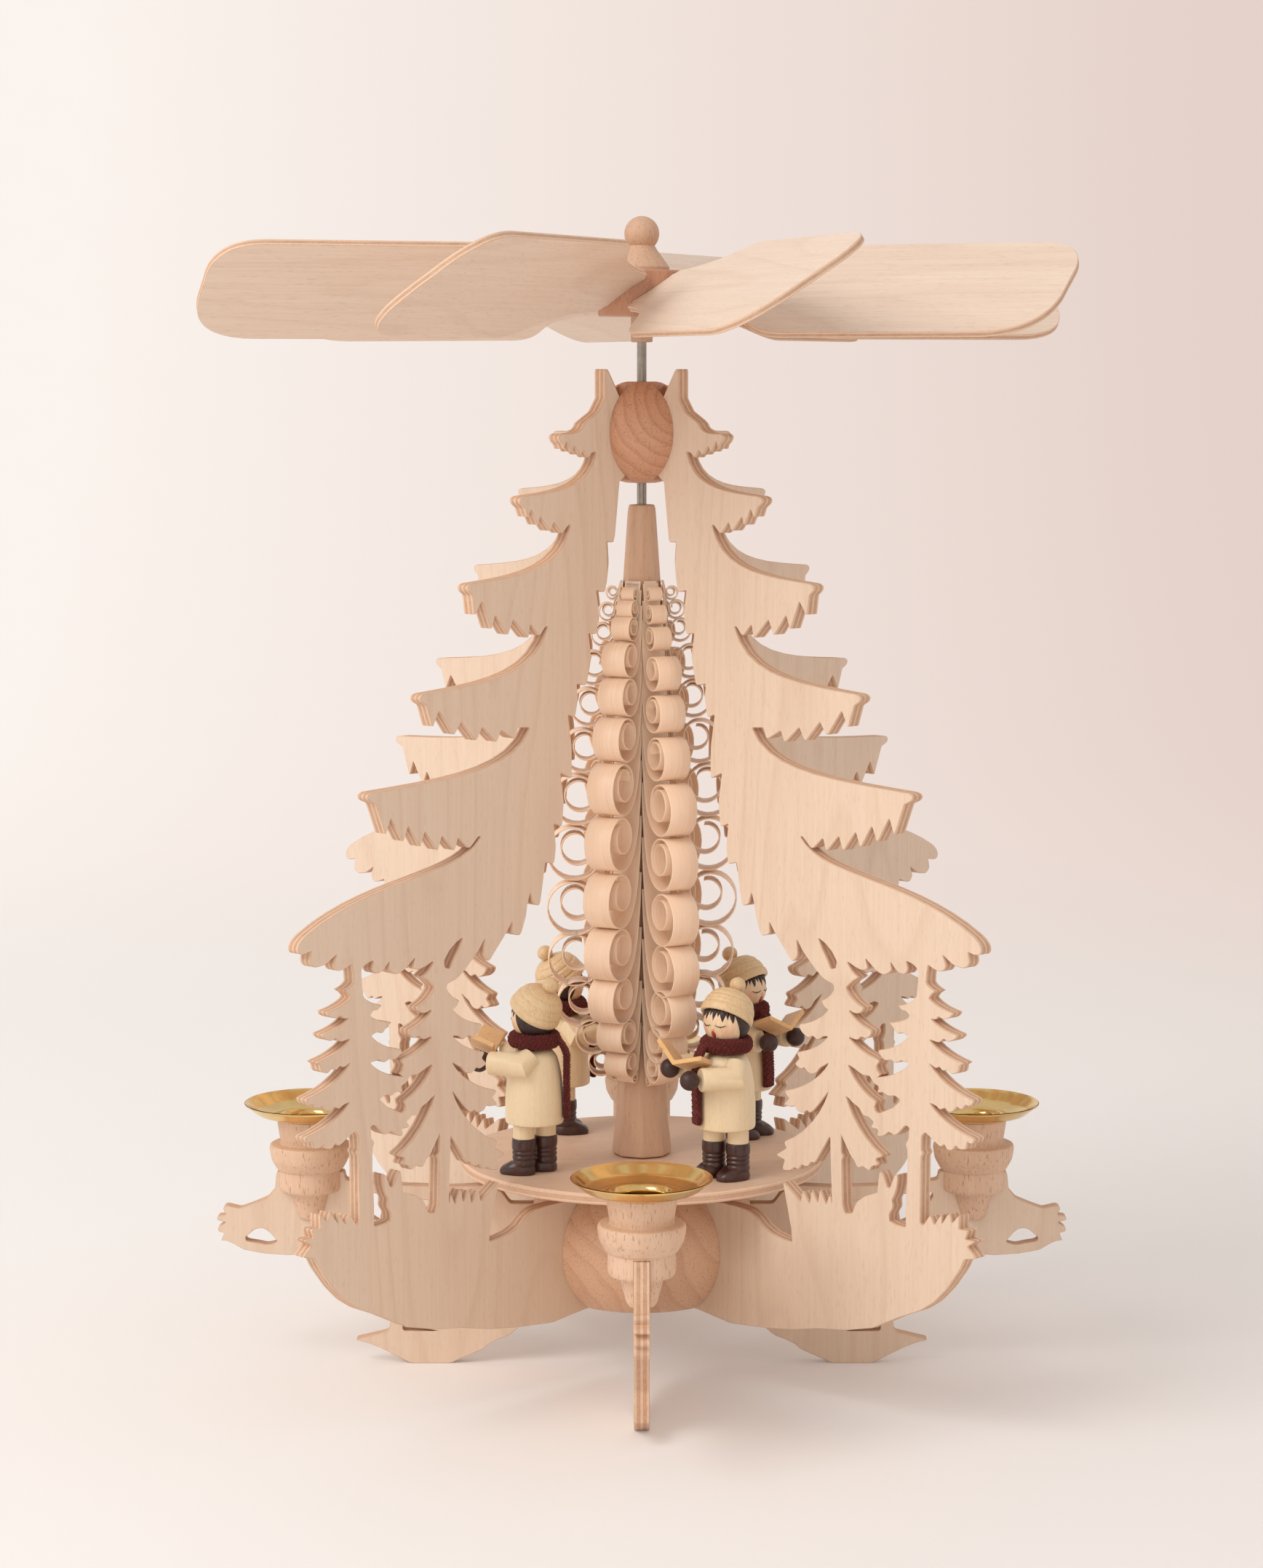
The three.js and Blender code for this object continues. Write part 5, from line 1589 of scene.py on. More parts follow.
@dataclass
class CurlTree:
    """A lime trunk with six columns of curls shaved out of it."""

    columns: tuple[tuple[float, float, float, float], ...] = (
        (24, 31, 24.1, 31.1), (87, 89, 25, 25), (149, 149, 28, 28), (211, 211, 28, 28), (273, 271, 25, 25),
        (336, 329, 24.1, 31.1))
    deck: float = DECK_TOP
    first_cut: float = 296.5
    top: float = 324.5
    bore: float = AXLE_BORE
    sides: int = 8
    trunk: float = 7.8
    thickness: float = 0.55
    centres: tuple[float, ...] = (
        292, 286.5, 279.5, 268.5, 255, 239.5, 221.5, 201.5, 180.5, 160.5, 143, 129, 117.5, 110)
    sizes: tuple[float, ...] = (5, 7, 9, 13, 14.6, 17, 20, 21, 21, 20.5, 18.6, 13.6, 10, 5)
    widths: tuple[float, ...] = (5, 6.2, 7.3, 9.4, 10.4, 10.8, 10.8, 10.8, 10.8, 10.8, 10.8, 10.6, 9.6, 7)
    lags: tuple[float, ...] = (1.0, 0.3, 0.75, 0.15, 0.8, 0.0)
    longest_lag: float = 7.6
    overlap: float = 0.16
    seed: int = 11

    def path(self, size: float, centre_z: float, width: float, sector: float,
             chance: random.Random) -> list[Triple]:
        """Lays one shaving: down the trunk, out, up round the outside, over the top and in.

        Args:
            size: The curl's outer diameter.
            centre_z: The height of its middle.
            width: The width of the shaving.
            sector: Half the angle that its column may fill.
            chance: The source of small differences.

        Returns:
            Radius, height and half width along it.
        """
        outer = size / 2
        centre = self.trunk + outer + max(0.43 * size - 1.5, 0.6)
        turns = 1.6 + 0.35 * chance.random()
        start_angle = radians(232)
        begin = (centre + outer * cos(start_angle), centre_z + outer * sin(start_angle))
        lead = (-sin(start_angle), cos(start_angle))
        reach = 0.7 * outer
        root = self.trunk + min(3.2, 0.16 * size)
        stem = [(root - 1.2, min(centre_z + 2.6 * outer + 2, self.first_cut))]
        stem += curve(stem[0], (root + 0.3, centre_z + 0.7 * outer),
                      (begin[0] - lead[0] * reach, begin[1] - lead[1] * reach), begin, 14)
        steps = 44
        for step in range(1, steps + 1):
            t = step / steps
            angle = start_angle + t * turns * 2 * pi
            shrink = outer * (1 - 0.68 * t ** 1.2)
            pull = outer - shrink
            stem.append((centre + shrink * cos(angle) - 0.22 * pull,
                         centre_z + shrink * sin(angle) + 0.5 * pull))
        wedge = tan(radians(sector))
        return [(radius, height, min(width / 2, wedge * radius + self.overlap)) for radius, height in stem]

    def ribbon(self, path: Sequence[Triple]) -> Form:
        """Gives a shaving its thickness, and lines along it for the grain.

        Args:
            path: Radius, height and half width along it.

        Returns:
            The form.
        """
        form = bmesh.new()
        grain = form.loops.layers.uv.new("UVMap")
        across = (-1.0, -0.96, 0.0, 0.96, 1.0)
        rings = []
        runs = [0.0]
        for index, (radius, height, half) in enumerate(path):
            before, after = path[max(index - 1, 0)], path[min(index + 1, len(path) - 1)]
            tangent = Vector((after[0] - before[0], after[1] - before[1])).normalized()
            normal = Vector((-tangent.y, tangent.x))
            fade = min(1.0, 0.35 + (len(path) - 1 - index) * 0.12)
            if index:
                runs.append(runs[-1] + dist(path[index - 1][:2], (radius, height)))
            ring = []
            for side in (1, -1):
                for share in across if side > 0 else tuple(reversed(across)):
                    edge = 0.3 if abs(share) == 1.0 else 1.0
                    lift = side * self.thickness / 2 * edge * fade
                    corner = (radius + normal.x * lift, share * half, height + normal.y * lift)
                    ring.append(form.verts.new(corner))
            rings.append(ring)
        for low, high, before, after in zip(rings, rings[1:], runs, runs[1:]):
            for face in bridge(form, low, high):
                for loop, run in zip(face.loops, (before, before, after, after)):
                    loop[grain].uv = (run, loop.vert.co.y)
        form.faces.new(list(reversed(rings[0])))
        form.faces.new(rings[-1])
        bmesh.ops.recalc_face_normals(form, faces=form.faces)
        return form

    def build_trunk(self) -> None:
        """Cuts the eight-sided trunk with its flared foot and tapered top."""
        profile = [(self.bore, self.deck), (11.4, self.deck), (11.2, self.deck + 3), (9.9, self.deck + 14),
                   (9.2, self.deck + 26), (7.9, self.deck + 42), (self.trunk, 286), (7.2, 295),
                   (5.3, self.top - 1.9), (4.9, self.top - 0.3), (4.4, self.top), (self.bore, self.top)]
        form = lathe_form(round_corners(profile, 1.6, 3, closed=False), self.sides, closed=True)
        edges = [edge for edge in form.edges
                 if abs(edge.verts[0].co.z - edge.verts[1].co.z) > 0.05
                 and min(vert.co.xy.length for vert in edge.verts) > 4]
        bmesh.ops.bevel(form, geom=edges, offset=0.9, segments=3, profile=0.6, affect="EDGES",
                        clamp_overlap=True)
        wood = WoodFinish("trunk_lime", srgb(218, 180, 150), srgb(184, 142, 112), srgb(150, 108, 80), seed=31,
                          ring_lines=8, ring_strength=0.3, streak_strength=0.4, fleck_amount=0.18)
        thing = finish_mesh("curl_trunk", form, [wood], crease=28)
        place(thing, Body.CAROUSEL, Slot.SHAVINGS, "curl_tree")

    def build(self) -> None:
        """Cuts the trunk and shaves the curls, column by column."""
        self.build_trunk()
        chance = random.Random(self.seed)
        shaving = ShavingFinish("lime_shaving")
        for column, (high, low, narrow, wide) in enumerate(self.columns):
            forms = []
            curls = zip(self.sizes, self.centres, self.widths)
            for number, (size, centre_z, width) in enumerate(curls):
                share = number / (len(self.sizes) - 1)
                centre_z -= self.longest_lag * self.lags[column] * sin(pi * share)
                size *= 0.97 + 0.05 * chance.random()
                if share == 1:
                    size *= chance.uniform(0.55, 0.95)
                    centre_z += chance.uniform(-0.5, 3.0)
                form = self.ribbon(self.path(size, centre_z, width, narrow + (wide - narrow) * share, chance))
                way = high + (low - high) * share + 0.2 * (chance.random() - 0.5)
                sway = Matrix.Rotation(radians(way), 4, "Z")
                bmesh.ops.transform(form, matrix=sway, verts=form.verts)
                forms.append(form)
            thing = finish_mesh(f"curl_column_{column + 1}", merged(forms), [shaving], crease=50)
            place(thing, Body.CAROUSEL, Slot.SHAVINGS, "curl_tree", matrix=spoke(0))


@dataclass
class Rotor:
    """The slotted hub with its finial, and eight plywood blades."""

    middle: float = 402.5
    blades: int = 8
    first: float = -25.7
    tilt: float = 32.5
    thickness: float = BLADE_SHEET
    slot_gap: float = 0.1
    tip: float = 163.8
    tongue_in: float = 10.6
    tongue_out: float = 16.3
    tongue_half: float = 9.3
    tongue_gap: float = 0.2
    slot_outer: float = 22.0
    bore: float = AXLE_BORE
    hub_bottom: float = 383.8
    disc_bottom: float = 393.2
    hub_top: float = 409.8
    bore_top: float = 404.3
    knob_radius: float = 6.4
    neck_radius: float = 4.7
    neck_height: float = 9.0

    def turn(self, angle: float) -> Matrix:
        """Gives the place of one blade, whose own X runs along the spoke and Z across the blade."""
        lift = Matrix.Translation((0, 0, self.middle * MM))
        return lift @ spoke(angle) @ Matrix.Rotation(radians(self.tilt - 90), 4, "X")

    def blade_outline(self) -> list[Point]:
        """Draws a blade along the spoke and across it.

        Returns:
            The outline.
        """
        tip, start, neck, half = self.tip, self.tongue_in, self.tongue_out, self.tongue_half
        points: list[Point] = [(start, -half), (neck, -half), (neck, -13.0)]
        points += curve(points[-1], (30, -13.6), (38, -16), (46, -20), 8)
        points += [*curve(points[-1], (52, -23.6), (56, -30.6), (66, -31.2), 8), (tip - 25, -31.2)]
        points += [*curve(points[-1], (tip - 10, -31.2), (tip - 1, -24), (tip, -8), 10), (tip, 10)]
        points += [*curve(points[-1], (tip - 0.6, 21), (tip - 6, 28.2), (tip - 18, 28.3), 10), (61, 28.3)]
        points += curve(points[-1], (57, 28.3), (50, 19.5), (42, 17.2), 8)
        points += curve(points[-1], (32, 13.6), (24, 12), (neck, 11.6), 6)
        return [*points, (neck, half), (start, half)]

    def hub_profile(self) -> list[Point]:
        """Gives the profile of the hub, its stepped neck and the round knob on top.

        Returns:
            Radius and height pairs.
        """
        top, knob = self.hub_top, self.knob_radius
        low, disc = self.hub_bottom, self.disc_bottom
        side = [(self.bore, low), (3.6, low), (4, low + 0.4), (4, disc), (15.6, disc), (16, disc + 0.4),
                (16, top - 0.5), (15.5, top), (10.1, top), (10.1, top + 1.3), (7.6, top + 4.8),
                (5.4, top + 7.8), (4.75, top + 9.1)]
        rise = sqrt(knob ** 2 - self.neck_radius ** 2)
        centre = top + self.neck_height + rise
        ball = arc(knob, centre, -asin(rise / knob), pi / 2, 20)[:-1]
        return [*side, *ball, (0, centre + knob), (0, self.bore_top), (self.bore, self.bore_top)]

    def build(self) -> None:
        """Turns the hub and sets the blades in its slots."""
        pale = WoodFinish("finial_beech", srgb(212, 174, 146), srgb(184, 140, 110), srgb(142, 98, 72),
                          seed=41, ring_lines=6, ring_strength=0.2, fleck_amount=0.45, fleck_fine=2.2)
        end_grain = TurnedFinish("hub_beech", pale=srgb(206, 154, 124), dark=srgb(170, 116, 88),
                                 heart=(4, 3, 400), ring_width=2.6, grain=Grain.ALONG_Z, ray_amount=0.45)
        disc_top, stem_radius = self.hub_top + 0.2, 4.5
        form = lathe_form(self.hub_profile(), 96, lambda radius, height: int(
            height < disc_top and radius > stem_radius), closed=True)
        hub = finish_mesh("slotted_hub", form, [pale, end_grain])
        turns = [self.turn(self.first + number * 360 / self.blades) for number in range(self.blades)]
        half = self.thickness / 2 + self.slot_gap
        start, end = self.tongue_in - self.tongue_gap, self.tongue_half + self.tongue_gap
        cutters = []
        for turn in turns:
            cutter = box_form((start, -half, -end), (self.slot_outer, half, end))
            way = Matrix.Translation((0, 0, self.middle)) @ turn.to_3x3().to_4x4()
            bmesh.ops.transform(cutter, matrix=way, verts=cutter.verts)
            cutters.append(cutter)
        carved(hub, cutters)
        place(hub, Body.ROTOR, Slot.BEECH, "rotor_hub")
        outline = round_corners(self.blade_outline(), 1.5)
        for number, turn in enumerate(turns, start=1):
            blade = finish_mesh(f"ply_blade_{number}", plate_form(outline, [], self.thickness, 0.2),
                                blade_ply(number))
            place(blade, Body.ROTOR, Slot.BLADES, f"blade_{number}", matrix=turn)


@dataclass
class Singer:
    """A turned figure in a coat, boots, cap and scarf, singing from a book."""

    number: int
    angle: float
    feet: float
    shoes: float
    body: float
    head: float
    scarf: float = 0.0
    lift: float = 0.0
    book_turn: float = 0.0
    book_roll: float = 0.0
    ring: float = 50.0
    deck: float = DECK_TOP
    head_radius: float = 8.4
    head_z: float = 57.3
    sleeve_z: float = 39.6
    fibres: int = 2600
    maple: WoodFinish = WoodFinish(
        "figure_maple", srgb(242, 220, 182), srgb(220, 186, 140), srgb(194, 152, 104), seed=51, ring_lines=7,
        ring_strength=0.18, streak_strength=0.34, fleck_amount=0.15, fleck_fine=2.4, roughness=0.42, coat=0.2)
    cap_wood: WoodFinish = WoodFinish(
        "cap_beech", srgb(232, 203, 160), srgb(202, 162, 116), srgb(150, 108, 70), seed=57, ring_lines=6,
        ring_strength=0.2, streak_strength=0.4, fleck_amount=0.5, fleck_fine=3.0, roughness=0.45, coat=0.15)
    boot_paint: PaintFinish = PaintFinish("boot_paint", srgb(58, 31, 25), srgb(84, 48, 38), roughness=0.32)
    mitten_paint: PaintFinish = PaintFinish(
        "mitten_paint", srgb(54, 31, 27), srgb(80, 50, 42), roughness=0.45, coat=0.05)
    hair_paint: PaintFinish = PaintFinish(
        "hair_paint", srgb(40, 25, 22), srgb(70, 44, 36), roughness=0.5, coat=0.1)
    mouth_paint: PaintFinish = PaintFinish("mouth_paint", srgb(168, 42, 34), srgb(190, 70, 58))

    def turn(self, way: float) -> Matrix:
        """Gives the figure's place on the table.

        Args:
            way: The way that it looks, in degrees round from the front.

        Returns:
            The place.
        """
        spot = Vector((self.ring * sin(radians(self.angle)),
                       -self.ring * cos(radians(self.angle)), self.deck)) * MM
        return Matrix.Translation(spot) @ Matrix.Rotation(radians(way), 4, "Z")

    def add(self, piece: str, form: Form, finishes: Sequence[Finish], slot: Slot, way: float,
            node: str, crease: float = 35.0) -> Thing:
        """Finishes a piece of this figure.

        Args:
            piece: What it is.
            form: Its form, standing on the figure's own origin.
            finishes: Its finishes.
            slot: The record's material slot.
            way: The way that it looks.
            node: The end of the name of the node that it stands for.
            crease: Edges sharper than this angle stay sharp.

        Returns:
            The piece.
        """
        name = f"singer_{self.number}_{piece}"
        thing = finish_mesh(name, form, finishes, crease)
        return place(thing, Body.CAROUSEL, slot, f"caroler_{self.number}_{node}", matrix=self.turn(way))

    def build(self) -> None:
        """Makes the whole figure."""
        self.build_coat()
        self.build_boots()
        self.build_head()
        self.build_arms()
        self.build_book()
        self.build_scarf()

    def build_coat(self) -> None:
        """Turns the coat with its round shoulders."""
        profile = [(8.7, 21.4), (8.7, 18.9), (9.1, 18.5), (10.4, 18.5), (10.75, 19.2), (10.7, 28),
                   (10.2, 34.5), (9.4, 39.6), (8.3, 43.3), (6.8, 45.3), (5.0, 46.2), (0, 46.2)]
        smooth = round_corners(profile, 2.2, 4, closed=False)
        self.add("coat", lathe_form([(0, 21.4), *smooth], 64), [self.maple], Slot.MAPLE, self.body, "coat")

    def build_boots(self) -> None:
        """Turns the legs, the ringed boots and the shoes."""
        hip = lathe_form([(0, 17.9), (7.5, 17.9), (7.7, 18.1), (7.7, 21.0), (0, 21.0)], 32)
        forms, slots = [hip], [0]
        boot = [(0, 3), (4.3, 3), (4.4, 4.4), (4.2, 4.9), (4.0, 5.3), (4.2, 5.7), (4.4, 6.2), (4.2, 6.7),
                (4.0, 7.0), (4.2, 7.3), (4.4, 7.8), (4.25, 8.3), (4.0, 8.6), (4.35, 9.1), (4.5, 10.4),
                (4.45, 12.6), (4.2, 13.2), (3.9, 13.2)]
        for side in (-5.0, 5.0):
            leg = lathe_form([(0, 12.0), (3.9, 12.0), (3.95, 13.4), (3.9, 18.1), (0, 18.1)], 32)
            shaft = lathe_form([*round_corners(boot, 0.5, 2, closed=False), (0, 13.1)], 40)
            shoe = self.shoe_form()
            splay = Matrix.Rotation(radians(self.shoes - self.feet), 3, "Z")
            bmesh.ops.rotate(shoe, cent=(0, 0, 0), matrix=splay, verts=shoe.verts)
            for form, slot in ((leg, 0), (shaft, 1), (shoe, 1)):
                bmesh.ops.translate(form, vec=(side, 0, 0), verts=form.verts)
                forms.append(form)
                slots.append(slot)
        self.add("boots", merged(forms, slots), [self.maple, self.boot_paint], Slot.PAINT, self.feet, "boots")

    def shoe_form(self) -> Form:
        """Carves one shoe with a round toe that slopes up to the ankle.

        Returns:
            The form.
        """
        half_width, half_length, instep, forward = 4.5, 6.75, 4.7, 2.4
        form = bmesh.new()
        rings = []
        for level in (0.0, 0.25, 0.55, 0.75, 0.9, 1.0):
            inset = (1 - (level ** 3.2) * 0.34) * (0.965 if level == 0 else 1.0)
            ring = []
            for k in range(32):
                angle = 2 * pi * k / 32
                x = half_width * copysign(abs(sin(angle)) ** 0.75, sin(angle))
                y = half_length * copysign(abs(cos(angle)) ** 0.8, cos(angle))
                toe = max(0.0, -y / half_length)
                height = instep * level * (1 - 0.32 * toe ** 1.5)
                ring.append(form.verts.new((x * inset * (1 - 0.12 * toe), y * inset - forward, height)))
            rings.append(ring)
        return skin(form, rings)

    def on_head(self, azimuth: float, elevation: float, lift: float = 0.0) -> Vector:
        """Gives a point on the head from its front, to the figure's left and upwards.

        Args:
            azimuth: Degrees round from the nose.
            elevation: Degrees above the middle.
            lift: How far it stands off the wood.

        Returns:
            The point.
        """
        az, el = radians(azimuth), radians(elevation)
        radius = self.head_radius + lift
        return Vector((radius * cos(el) * sin(az), -radius * cos(el) * cos(az),
                       self.head_z + radius * sin(el)))

    def hair_form(self) -> Form:
        """Shapes the painted hair: a toothed fringe and a bob round the back.

        Returns:
            The form.
        """
        form = bmesh.new()
        columns, crown, nape, temple, fringe = 144, 60, -46, 26, 60
        spikes = (4, 17, 8, 20, 11, 19, 6, 14, 2)
        lines = []
        for k in range(columns):
            azimuth = -180 + 360 * k / columns
            away = abs(azimuth)
            if away < fringe:
                tooth = (azimuth + fringe) / (2 * fringe) * len(spikes)
                bottom = spikes[int(tooth) % len(spikes)] + 17 * abs(2 * (tooth % 1) - 1) ** 0.75
            else:
                bottom = max(nape, temple - (away - fringe) / 22 * (temple - nape))
            lines.append((azimuth, bottom))
        rings = []
        for share in (level / 8 for level in range(9)):
            lift = 0.05 + 0.5 * min(1, share * 3)
            rings.append([form.verts.new(self.on_head(azimuth, bottom + (crown - bottom) * share, lift))
                          for azimuth, bottom in lines])
        return skin(form, rings, capped=False)

    def cap_form(self) -> Form:
        """Turns the cap with its grooves and pompom, and tips it back.

        Returns:
            The form.
        """
        profile = [
            (8.5, -0.8), (9.4, -1.0), (9.85, -0.3), (10.0, 0.9), (9.7, 2.1), (9.3, 2.45), (9.55, 2.9),
            (9.4, 3.8), (9.15, 4.3), (9.2, 4.6), (8.8, 5.4), (8.3, 5.75), (8.5, 6.1), (7.9, 7.2),
            (6.9, 8.2), (6.35, 8.35), (6.4, 8.7), (4.8, 9.5), (2.6, 10.1), (1.6, 10.3)]
        pompom = arc(3.0, 12.6, -1.0, pi / 2, 12, squash=2.9 / 3)
        form = lathe_form([(0, 3.0), (7.4, 2.0), *round_corners(profile, 0.4, 2, closed=False), *pompom], 96)
        tip = Matrix.Translation((0, 0, self.head_z + 2.1)) @ Matrix.Rotation(radians(-33), 4, "X")
        bmesh.ops.transform(form, matrix=tip, verts=form.verts)
        return form

    def lash_form(self) -> Form:
        """Draws the closed lids, each with five lashes below.

        Returns:
            The form.
        """
        lines = []
        for side in (-1, 1):
            steps = [k / 6 - 1 for k in range(13)]
            lid = [self.on_head(side * (21 + 13 * t), 1.5 - 4.5 * (1 - t * t), 0.02) for t in steps]
            lines.append(tube_form(lid, [0.1 + 0.12 * (1 - abs(t)) for t in steps], 8))
            for t in (-0.9, -0.45, 0.1, 0.6, 0.95):
                root = self.on_head(side * (21 + 13 * t), 1.5 - 4.5 * (1 - t * t), 0.03)
                end = self.on_head(side * (21 + 17 * t), -1.5 - 5.2 * (1 - t * t), 0.03)
                lines.append(tube_form([root, end], [0.1, 0.04], 6))
        return merged(lines)

    def build_head(self) -> None:
        """Turns the head and adds the cap, the hair and the painted face."""
        neck = 4.0
        skull = arc(self.head_radius, self.head_z, -acos(neck / self.head_radius), 1.15, 28)
        head = lathe_form([(0, 46.5), (neck, 46.5), *skull, (0, self.head_z + 7.6)], 64)
        nose = lathe_form(arc(0.65, 0, -pi / 2, pi / 2, 10), 20)
        bmesh.ops.translate(nose, vec=self.on_head(0, -8), verts=nose.verts)
        head = merged([head, nose])
        self.add("head", head, [FaceFinish("face_wood")], Slot.MAPLE, self.head, "head")
        self.add("cap", self.cap_form(), [self.cap_wood], Slot.MAPLE, self.head, "head")
        self.add("hair", self.hair_form(), [self.hair_paint], Slot.PAINT, self.head, "head")
        self.add("lashes", self.lash_form(), [self.hair_paint], Slot.PAINT, self.head, "head")
        mouth = lathe_form([(0, 0.3), (0.75, 0.26), (1.15, 0.0), (0, -0.2)], 28)
        bmesh.ops.scale(mouth, vec=(0.85, 1.25, 1), verts=mouth.verts)
        bmesh.ops.rotate(mouth, cent=(0, 0, 0), matrix=Matrix.Rotation(radians(112), 3, "X"),
                         verts=mouth.verts)
        bmesh.ops.translate(mouth, vec=self.on_head(0, -24, -0.06), verts=mouth.verts)
        self.add("mouth", mouth, [self.mouth_paint], Slot.WOOL, self.head, "head")

    def build_arms(self) -> None:
        """Mitres each sleeve at the elbow and adds its mitten."""
        for side, word in ((1, "left"), (-1, "right")):
            drop = 0.9 * side if self.book_roll else 0.0
            elbow = Vector((side * 10.4, -2.5, self.sleeve_z + self.lift - drop))
            shoulder = Vector((side * 7.4, 0.2, 43.2 + 0.5 * self.lift))
            way = Matrix.Rotation(radians(-8.5 * side), 3, "Z") @ Vector((0, -1, 0))
            sleeve = tube_form([shoulder, elbow, elbow + way * 11.9, elbow + way * 12.5],
                               [3.7, 4.4, 4.4, 4.1], 48)
            mitten = lathe_form(arc(3.6, 0, -pi / 2, pi / 2, 20), 40)
            bmesh.ops.translate(mitten, vec=elbow + way * 16.6, verts=mitten.verts)
            self.add(f"sleeve_{word}", merged([sleeve, mitten], [0, 1]), [self.maple, self.mitten_paint],
                     Slot.MAPLE, self.body, f"arm_{word}")

    def build_book(self) -> None:
        """Opens the small wooden book above the mittens."""
        leaf, rise, thick = 10.2, 5.6, 1.6
        outline = [(0, 0), (leaf, rise), (leaf - 0.55, rise + thick), (0, thick * 1.15),
                   (0.55 - leaf, rise + thick), (-leaf, rise)]
        form = plate_form(round_corners(outline, 0.25, 2), [], 9.0, 0.12)
        tip = (Matrix.Translation((0, -19.6, self.sleeve_z + self.lift + 2.7))
               @ Matrix.Rotation(radians(self.book_turn), 4, "Z")
               @ Matrix.Rotation(radians(self.book_roll), 4, "Y")
               @ Matrix.Rotation(radians(-22), 4, "X"))
        bmesh.ops.transform(form, matrix=tip, verts=form.verts)
        cover = WoodFinish("book_cover", srgb(234, 192, 142), srgb(210, 158, 108), srgb(176, 118, 70),
                           seed=61, grain=Grain.ALONG_Y, ring_strength=0.15, roughness=0.5)
        pages = WoodFinish("book_edge", srgb(236, 190, 128), srgb(210, 152, 92), srgb(180, 122, 70), seed=62,
                           grain=Grain.ALONG_Y, ring_strength=0.25, roughness=0.6)
        self.add("book", form, [pages, cover], Slot.BOOK, self.body, "book")

    def build_scarf(self) -> None:
        """Knits the band round the neck and the end that hangs over the coat."""
        band = self.knit_band()
        end = self.knit_end()
        wool = WoolFinish("scarf_wool")
        way = self.body + self.scarf
        thing = self.add("scarf", merged([band, end]), [wool], Slot.WOOL, way, "scarf", crease=180)
        self.add("scarf_fluff", self.fluff(thing), [wool], Slot.WOOL, way, "scarf")

    def fluff(self, knit: Thing) -> Form:
        """Grows short stray fibres on the knitting.

        Args:
            knit: The knitted scarf.

        Returns:
            The fibres.
        """
        chance = random.Random(90 + self.number)
        form = bmesh.new()
        faces = knit.data.polygons
        for _ in range(self.fibres):
            face = faces[chance.randrange(len(faces))]
            root = Vector(face.center) / MM
            lean = Vector([chance.uniform(-0.8, 0.8) for _ in range(3)])
            lead = (Vector(face.normal) + lean).normalized()
            side = lead.cross(Vector((0.3, 0.5, 0.8))).normalized() * 0.06
            bend = Vector([chance.uniform(-0.2, 0.2) for _ in range(3)])
            length = chance.uniform(0.35, 0.95)
            middle = root + lead * length * 0.55
            points = (root - side, root + side, middle + side * 0.8, middle - side * 0.8)
            low = [form.verts.new(point) for point in points]
            top = form.verts.new(root + lead * length + bend)
            form.faces.new(low)
            form.faces.new((low[3], low[2], top))
        return form

    def knit_band(self) -> Form:
        """Wraps the stitched band round the neck, rounder in front.

        Returns:
            The form.
        """
        form = bmesh.new()
        around, section, shoulders = 200, 32, 46.55
        neck, middle, half_width, half_height = 7.3, 49.4, 2.25, 2.75
        depth, rows, stitches = 0.42, 7, 34
        rings = []
        for i in range(around):
            angle = 2 * pi * i / around
            ring = []
            for k in range(section):
                turn = 2 * pi * k / section
                stitch = depth * sin(turn * rows + sin(angle * stitches) * 0.8) * cos(angle * stitches)
                slump = 0.35 * sin(angle * 2 + 0.6) + 0.2 * sin(angle * 5)
                radius = neck + (half_width + stitch) * cos(turn)
                height = middle + (half_height + stitch) * sin(turn) + slump * 0.5
                spot = (radius * sin(angle), -radius * cos(angle), max(height, shoulders))
                ring.append(form.verts.new(spot))
            rings.append(ring)
        return skin(form, [*rings, rings[0]], capped=False)

    def knit_end(self) -> Form:
        """Hangs the end of the scarf over the coat.

        Returns:
            The form.
        """
        form = bmesh.new()
        rows, section, stitches, depth = 120, 28, 84, 0.32
        top, length, at_neck, hang, half_width, half_thick = 50.2, 29.8, 8.6, 3.5, 2.75, 0.95
        rings = []
        for i in range(rows + 1):
            run = i / rows
            height = top - length * run
            out = at_neck + hang * sin(min(1.0, run / 0.25) * pi / 2)
            ring = []
            for k in range(section):
                turn = 2 * pi * k / section
                stitch = depth * sin(turn * 6 + sin(run * stitches) * 0.8) * cos(run * stitches)
                taper = 0.55 if i in (0, rows) else 1.0
                x = (half_width + stitch) * taper * copysign(abs(cos(turn)) ** 0.7, cos(turn))
                y = (half_thick + stitch) * taper * copysign(abs(sin(turn)) ** 0.7, sin(turn))
                ring.append(form.verts.new((x + 0.25 * sin(run * 9), -out + y, height)))
            rings.append(ring)
        return skin(form, rings)


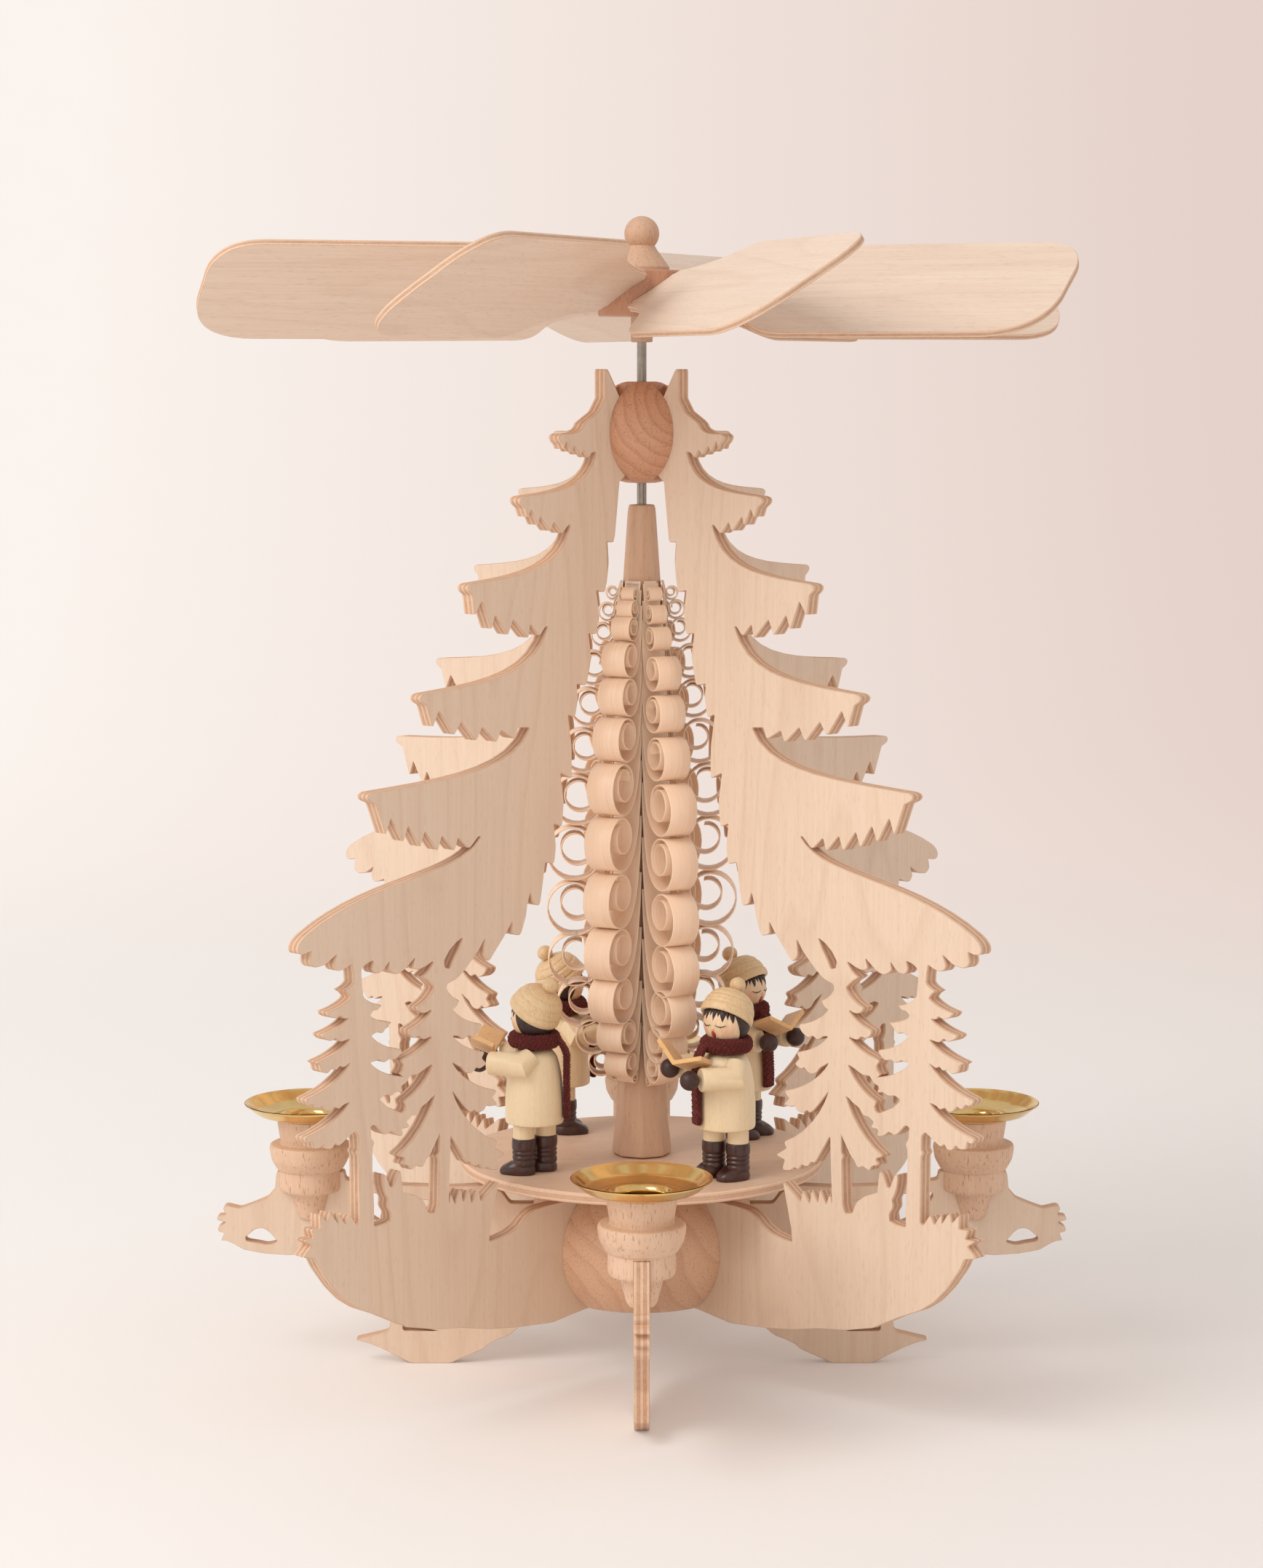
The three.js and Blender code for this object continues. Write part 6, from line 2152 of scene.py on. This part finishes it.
@dataclass
class Studio:
    """Pale paper floor that curves up all round, a soft lamp, lit air and the camera."""

    floor_radius: float = 1900.0
    wall_radius: float = 2700.0
    wall_height: float = 1350.0
    air: float = 0.7
    key_spot: Triple = (-1.4, -1.2, 1.7)
    key_size: float = 1.3
    key_power: float = 25.6
    focal_length: float = 80.07
    sensor: float = 36.0
    shift: float = -0.00654
    distance: float = 1.2893
    height: float = 0.3728
    tilt: float = 6.73

    def build(self) -> None:
        """Sets up paper, lamp, air and camera."""
        profile: list[Point] = [(0, 0), (600, 0), (1300, 0), (self.floor_radius, 0)]
        run = self.wall_radius - self.floor_radius
        profile += [(self.floor_radius + run * sin(a), run - run * cos(a))
                    for a in (pi / 2 * k / 24 for k in range(1, 25))]
        profile.append((self.wall_radius, self.wall_height))
        form = lathe_form(profile, 128)
        bmesh.ops.reverse_faces(form, faces=form.faces)
        paper = finish_mesh("studio_paper", form, [BackdropFinish("studio_paper")], crease=60)
        self.lamp()
        world = bpy.data.worlds.new("studio_air")
        bpy.context.scene.world = world
        world.use_nodes = True
        sky = world.node_tree.nodes["Background"]
        sky.inputs[0].default_value = (*srgb(255, 252, 249), 1)
        sky.inputs[1].default_value = self.air
        bpy.context.scene.view_settings.view_transform = "Standard"
        self.camera()

    def lamp(self) -> None:
        """Hangs the square soft lamp, which looks at the middle of the object."""
        light = bpy.data.lights.new("key_lamp", "AREA")
        light.shape = "SQUARE"
        light.size = self.key_size
        light.energy = self.key_power
        light.color = srgb(255, 250, 245)
        thing = bpy.data.objects.new("key_lamp", light)
        thing.location = self.key_spot
        way = Vector((0, 0, 0.18)) - Vector(self.key_spot)
        thing.rotation_euler = way.to_track_quat("-Z", "Y").to_euler()
        thing.visible_camera = False
        bpy.context.scene.collection.objects.link(thing)

    def camera(self) -> None:
        """Stands the camera where the photograph was taken from."""
        lens = bpy.data.cameras.new("photo_camera")
        lens.lens = self.focal_length
        lens.sensor_width = self.sensor
        lens.shift_x = self.shift
        lens.clip_end = 20
        thing = bpy.data.objects.new("photo_camera", lens)
        thing.location = (0, -self.distance, self.height)
        thing.rotation_euler = (radians(90 - self.tilt), 0, 0)
        bpy.context.scene.collection.objects.link(thing)
        bpy.context.scene.camera = thing


def main() -> None:
    """Builds every sub-assembly in order."""
    logging.basicConfig(level=logging.INFO, format="%(name)s: %(message)s")
    Studio().build()
    TreePanel().build()
    CandleArm().build()
    Axle().build()
    CurlTree().build()
    Rotor().build()
    singers = (
        Singer(1, 38, feet=-30, shoes=-55, body=-64, head=-38, book_turn=27, book_roll=14),
        Singer(2, 128, feet=56, shoes=75, body=48, head=54),
        Singer(3, -142, feet=104, shoes=98, body=105, head=108),
        Singer(4, -52, feet=-140, shoes=-103, body=-100, head=-118, scarf=180, lift=2.0))
    for singer in singers:
        singer.build()


if __name__ == "__main__":
    main()
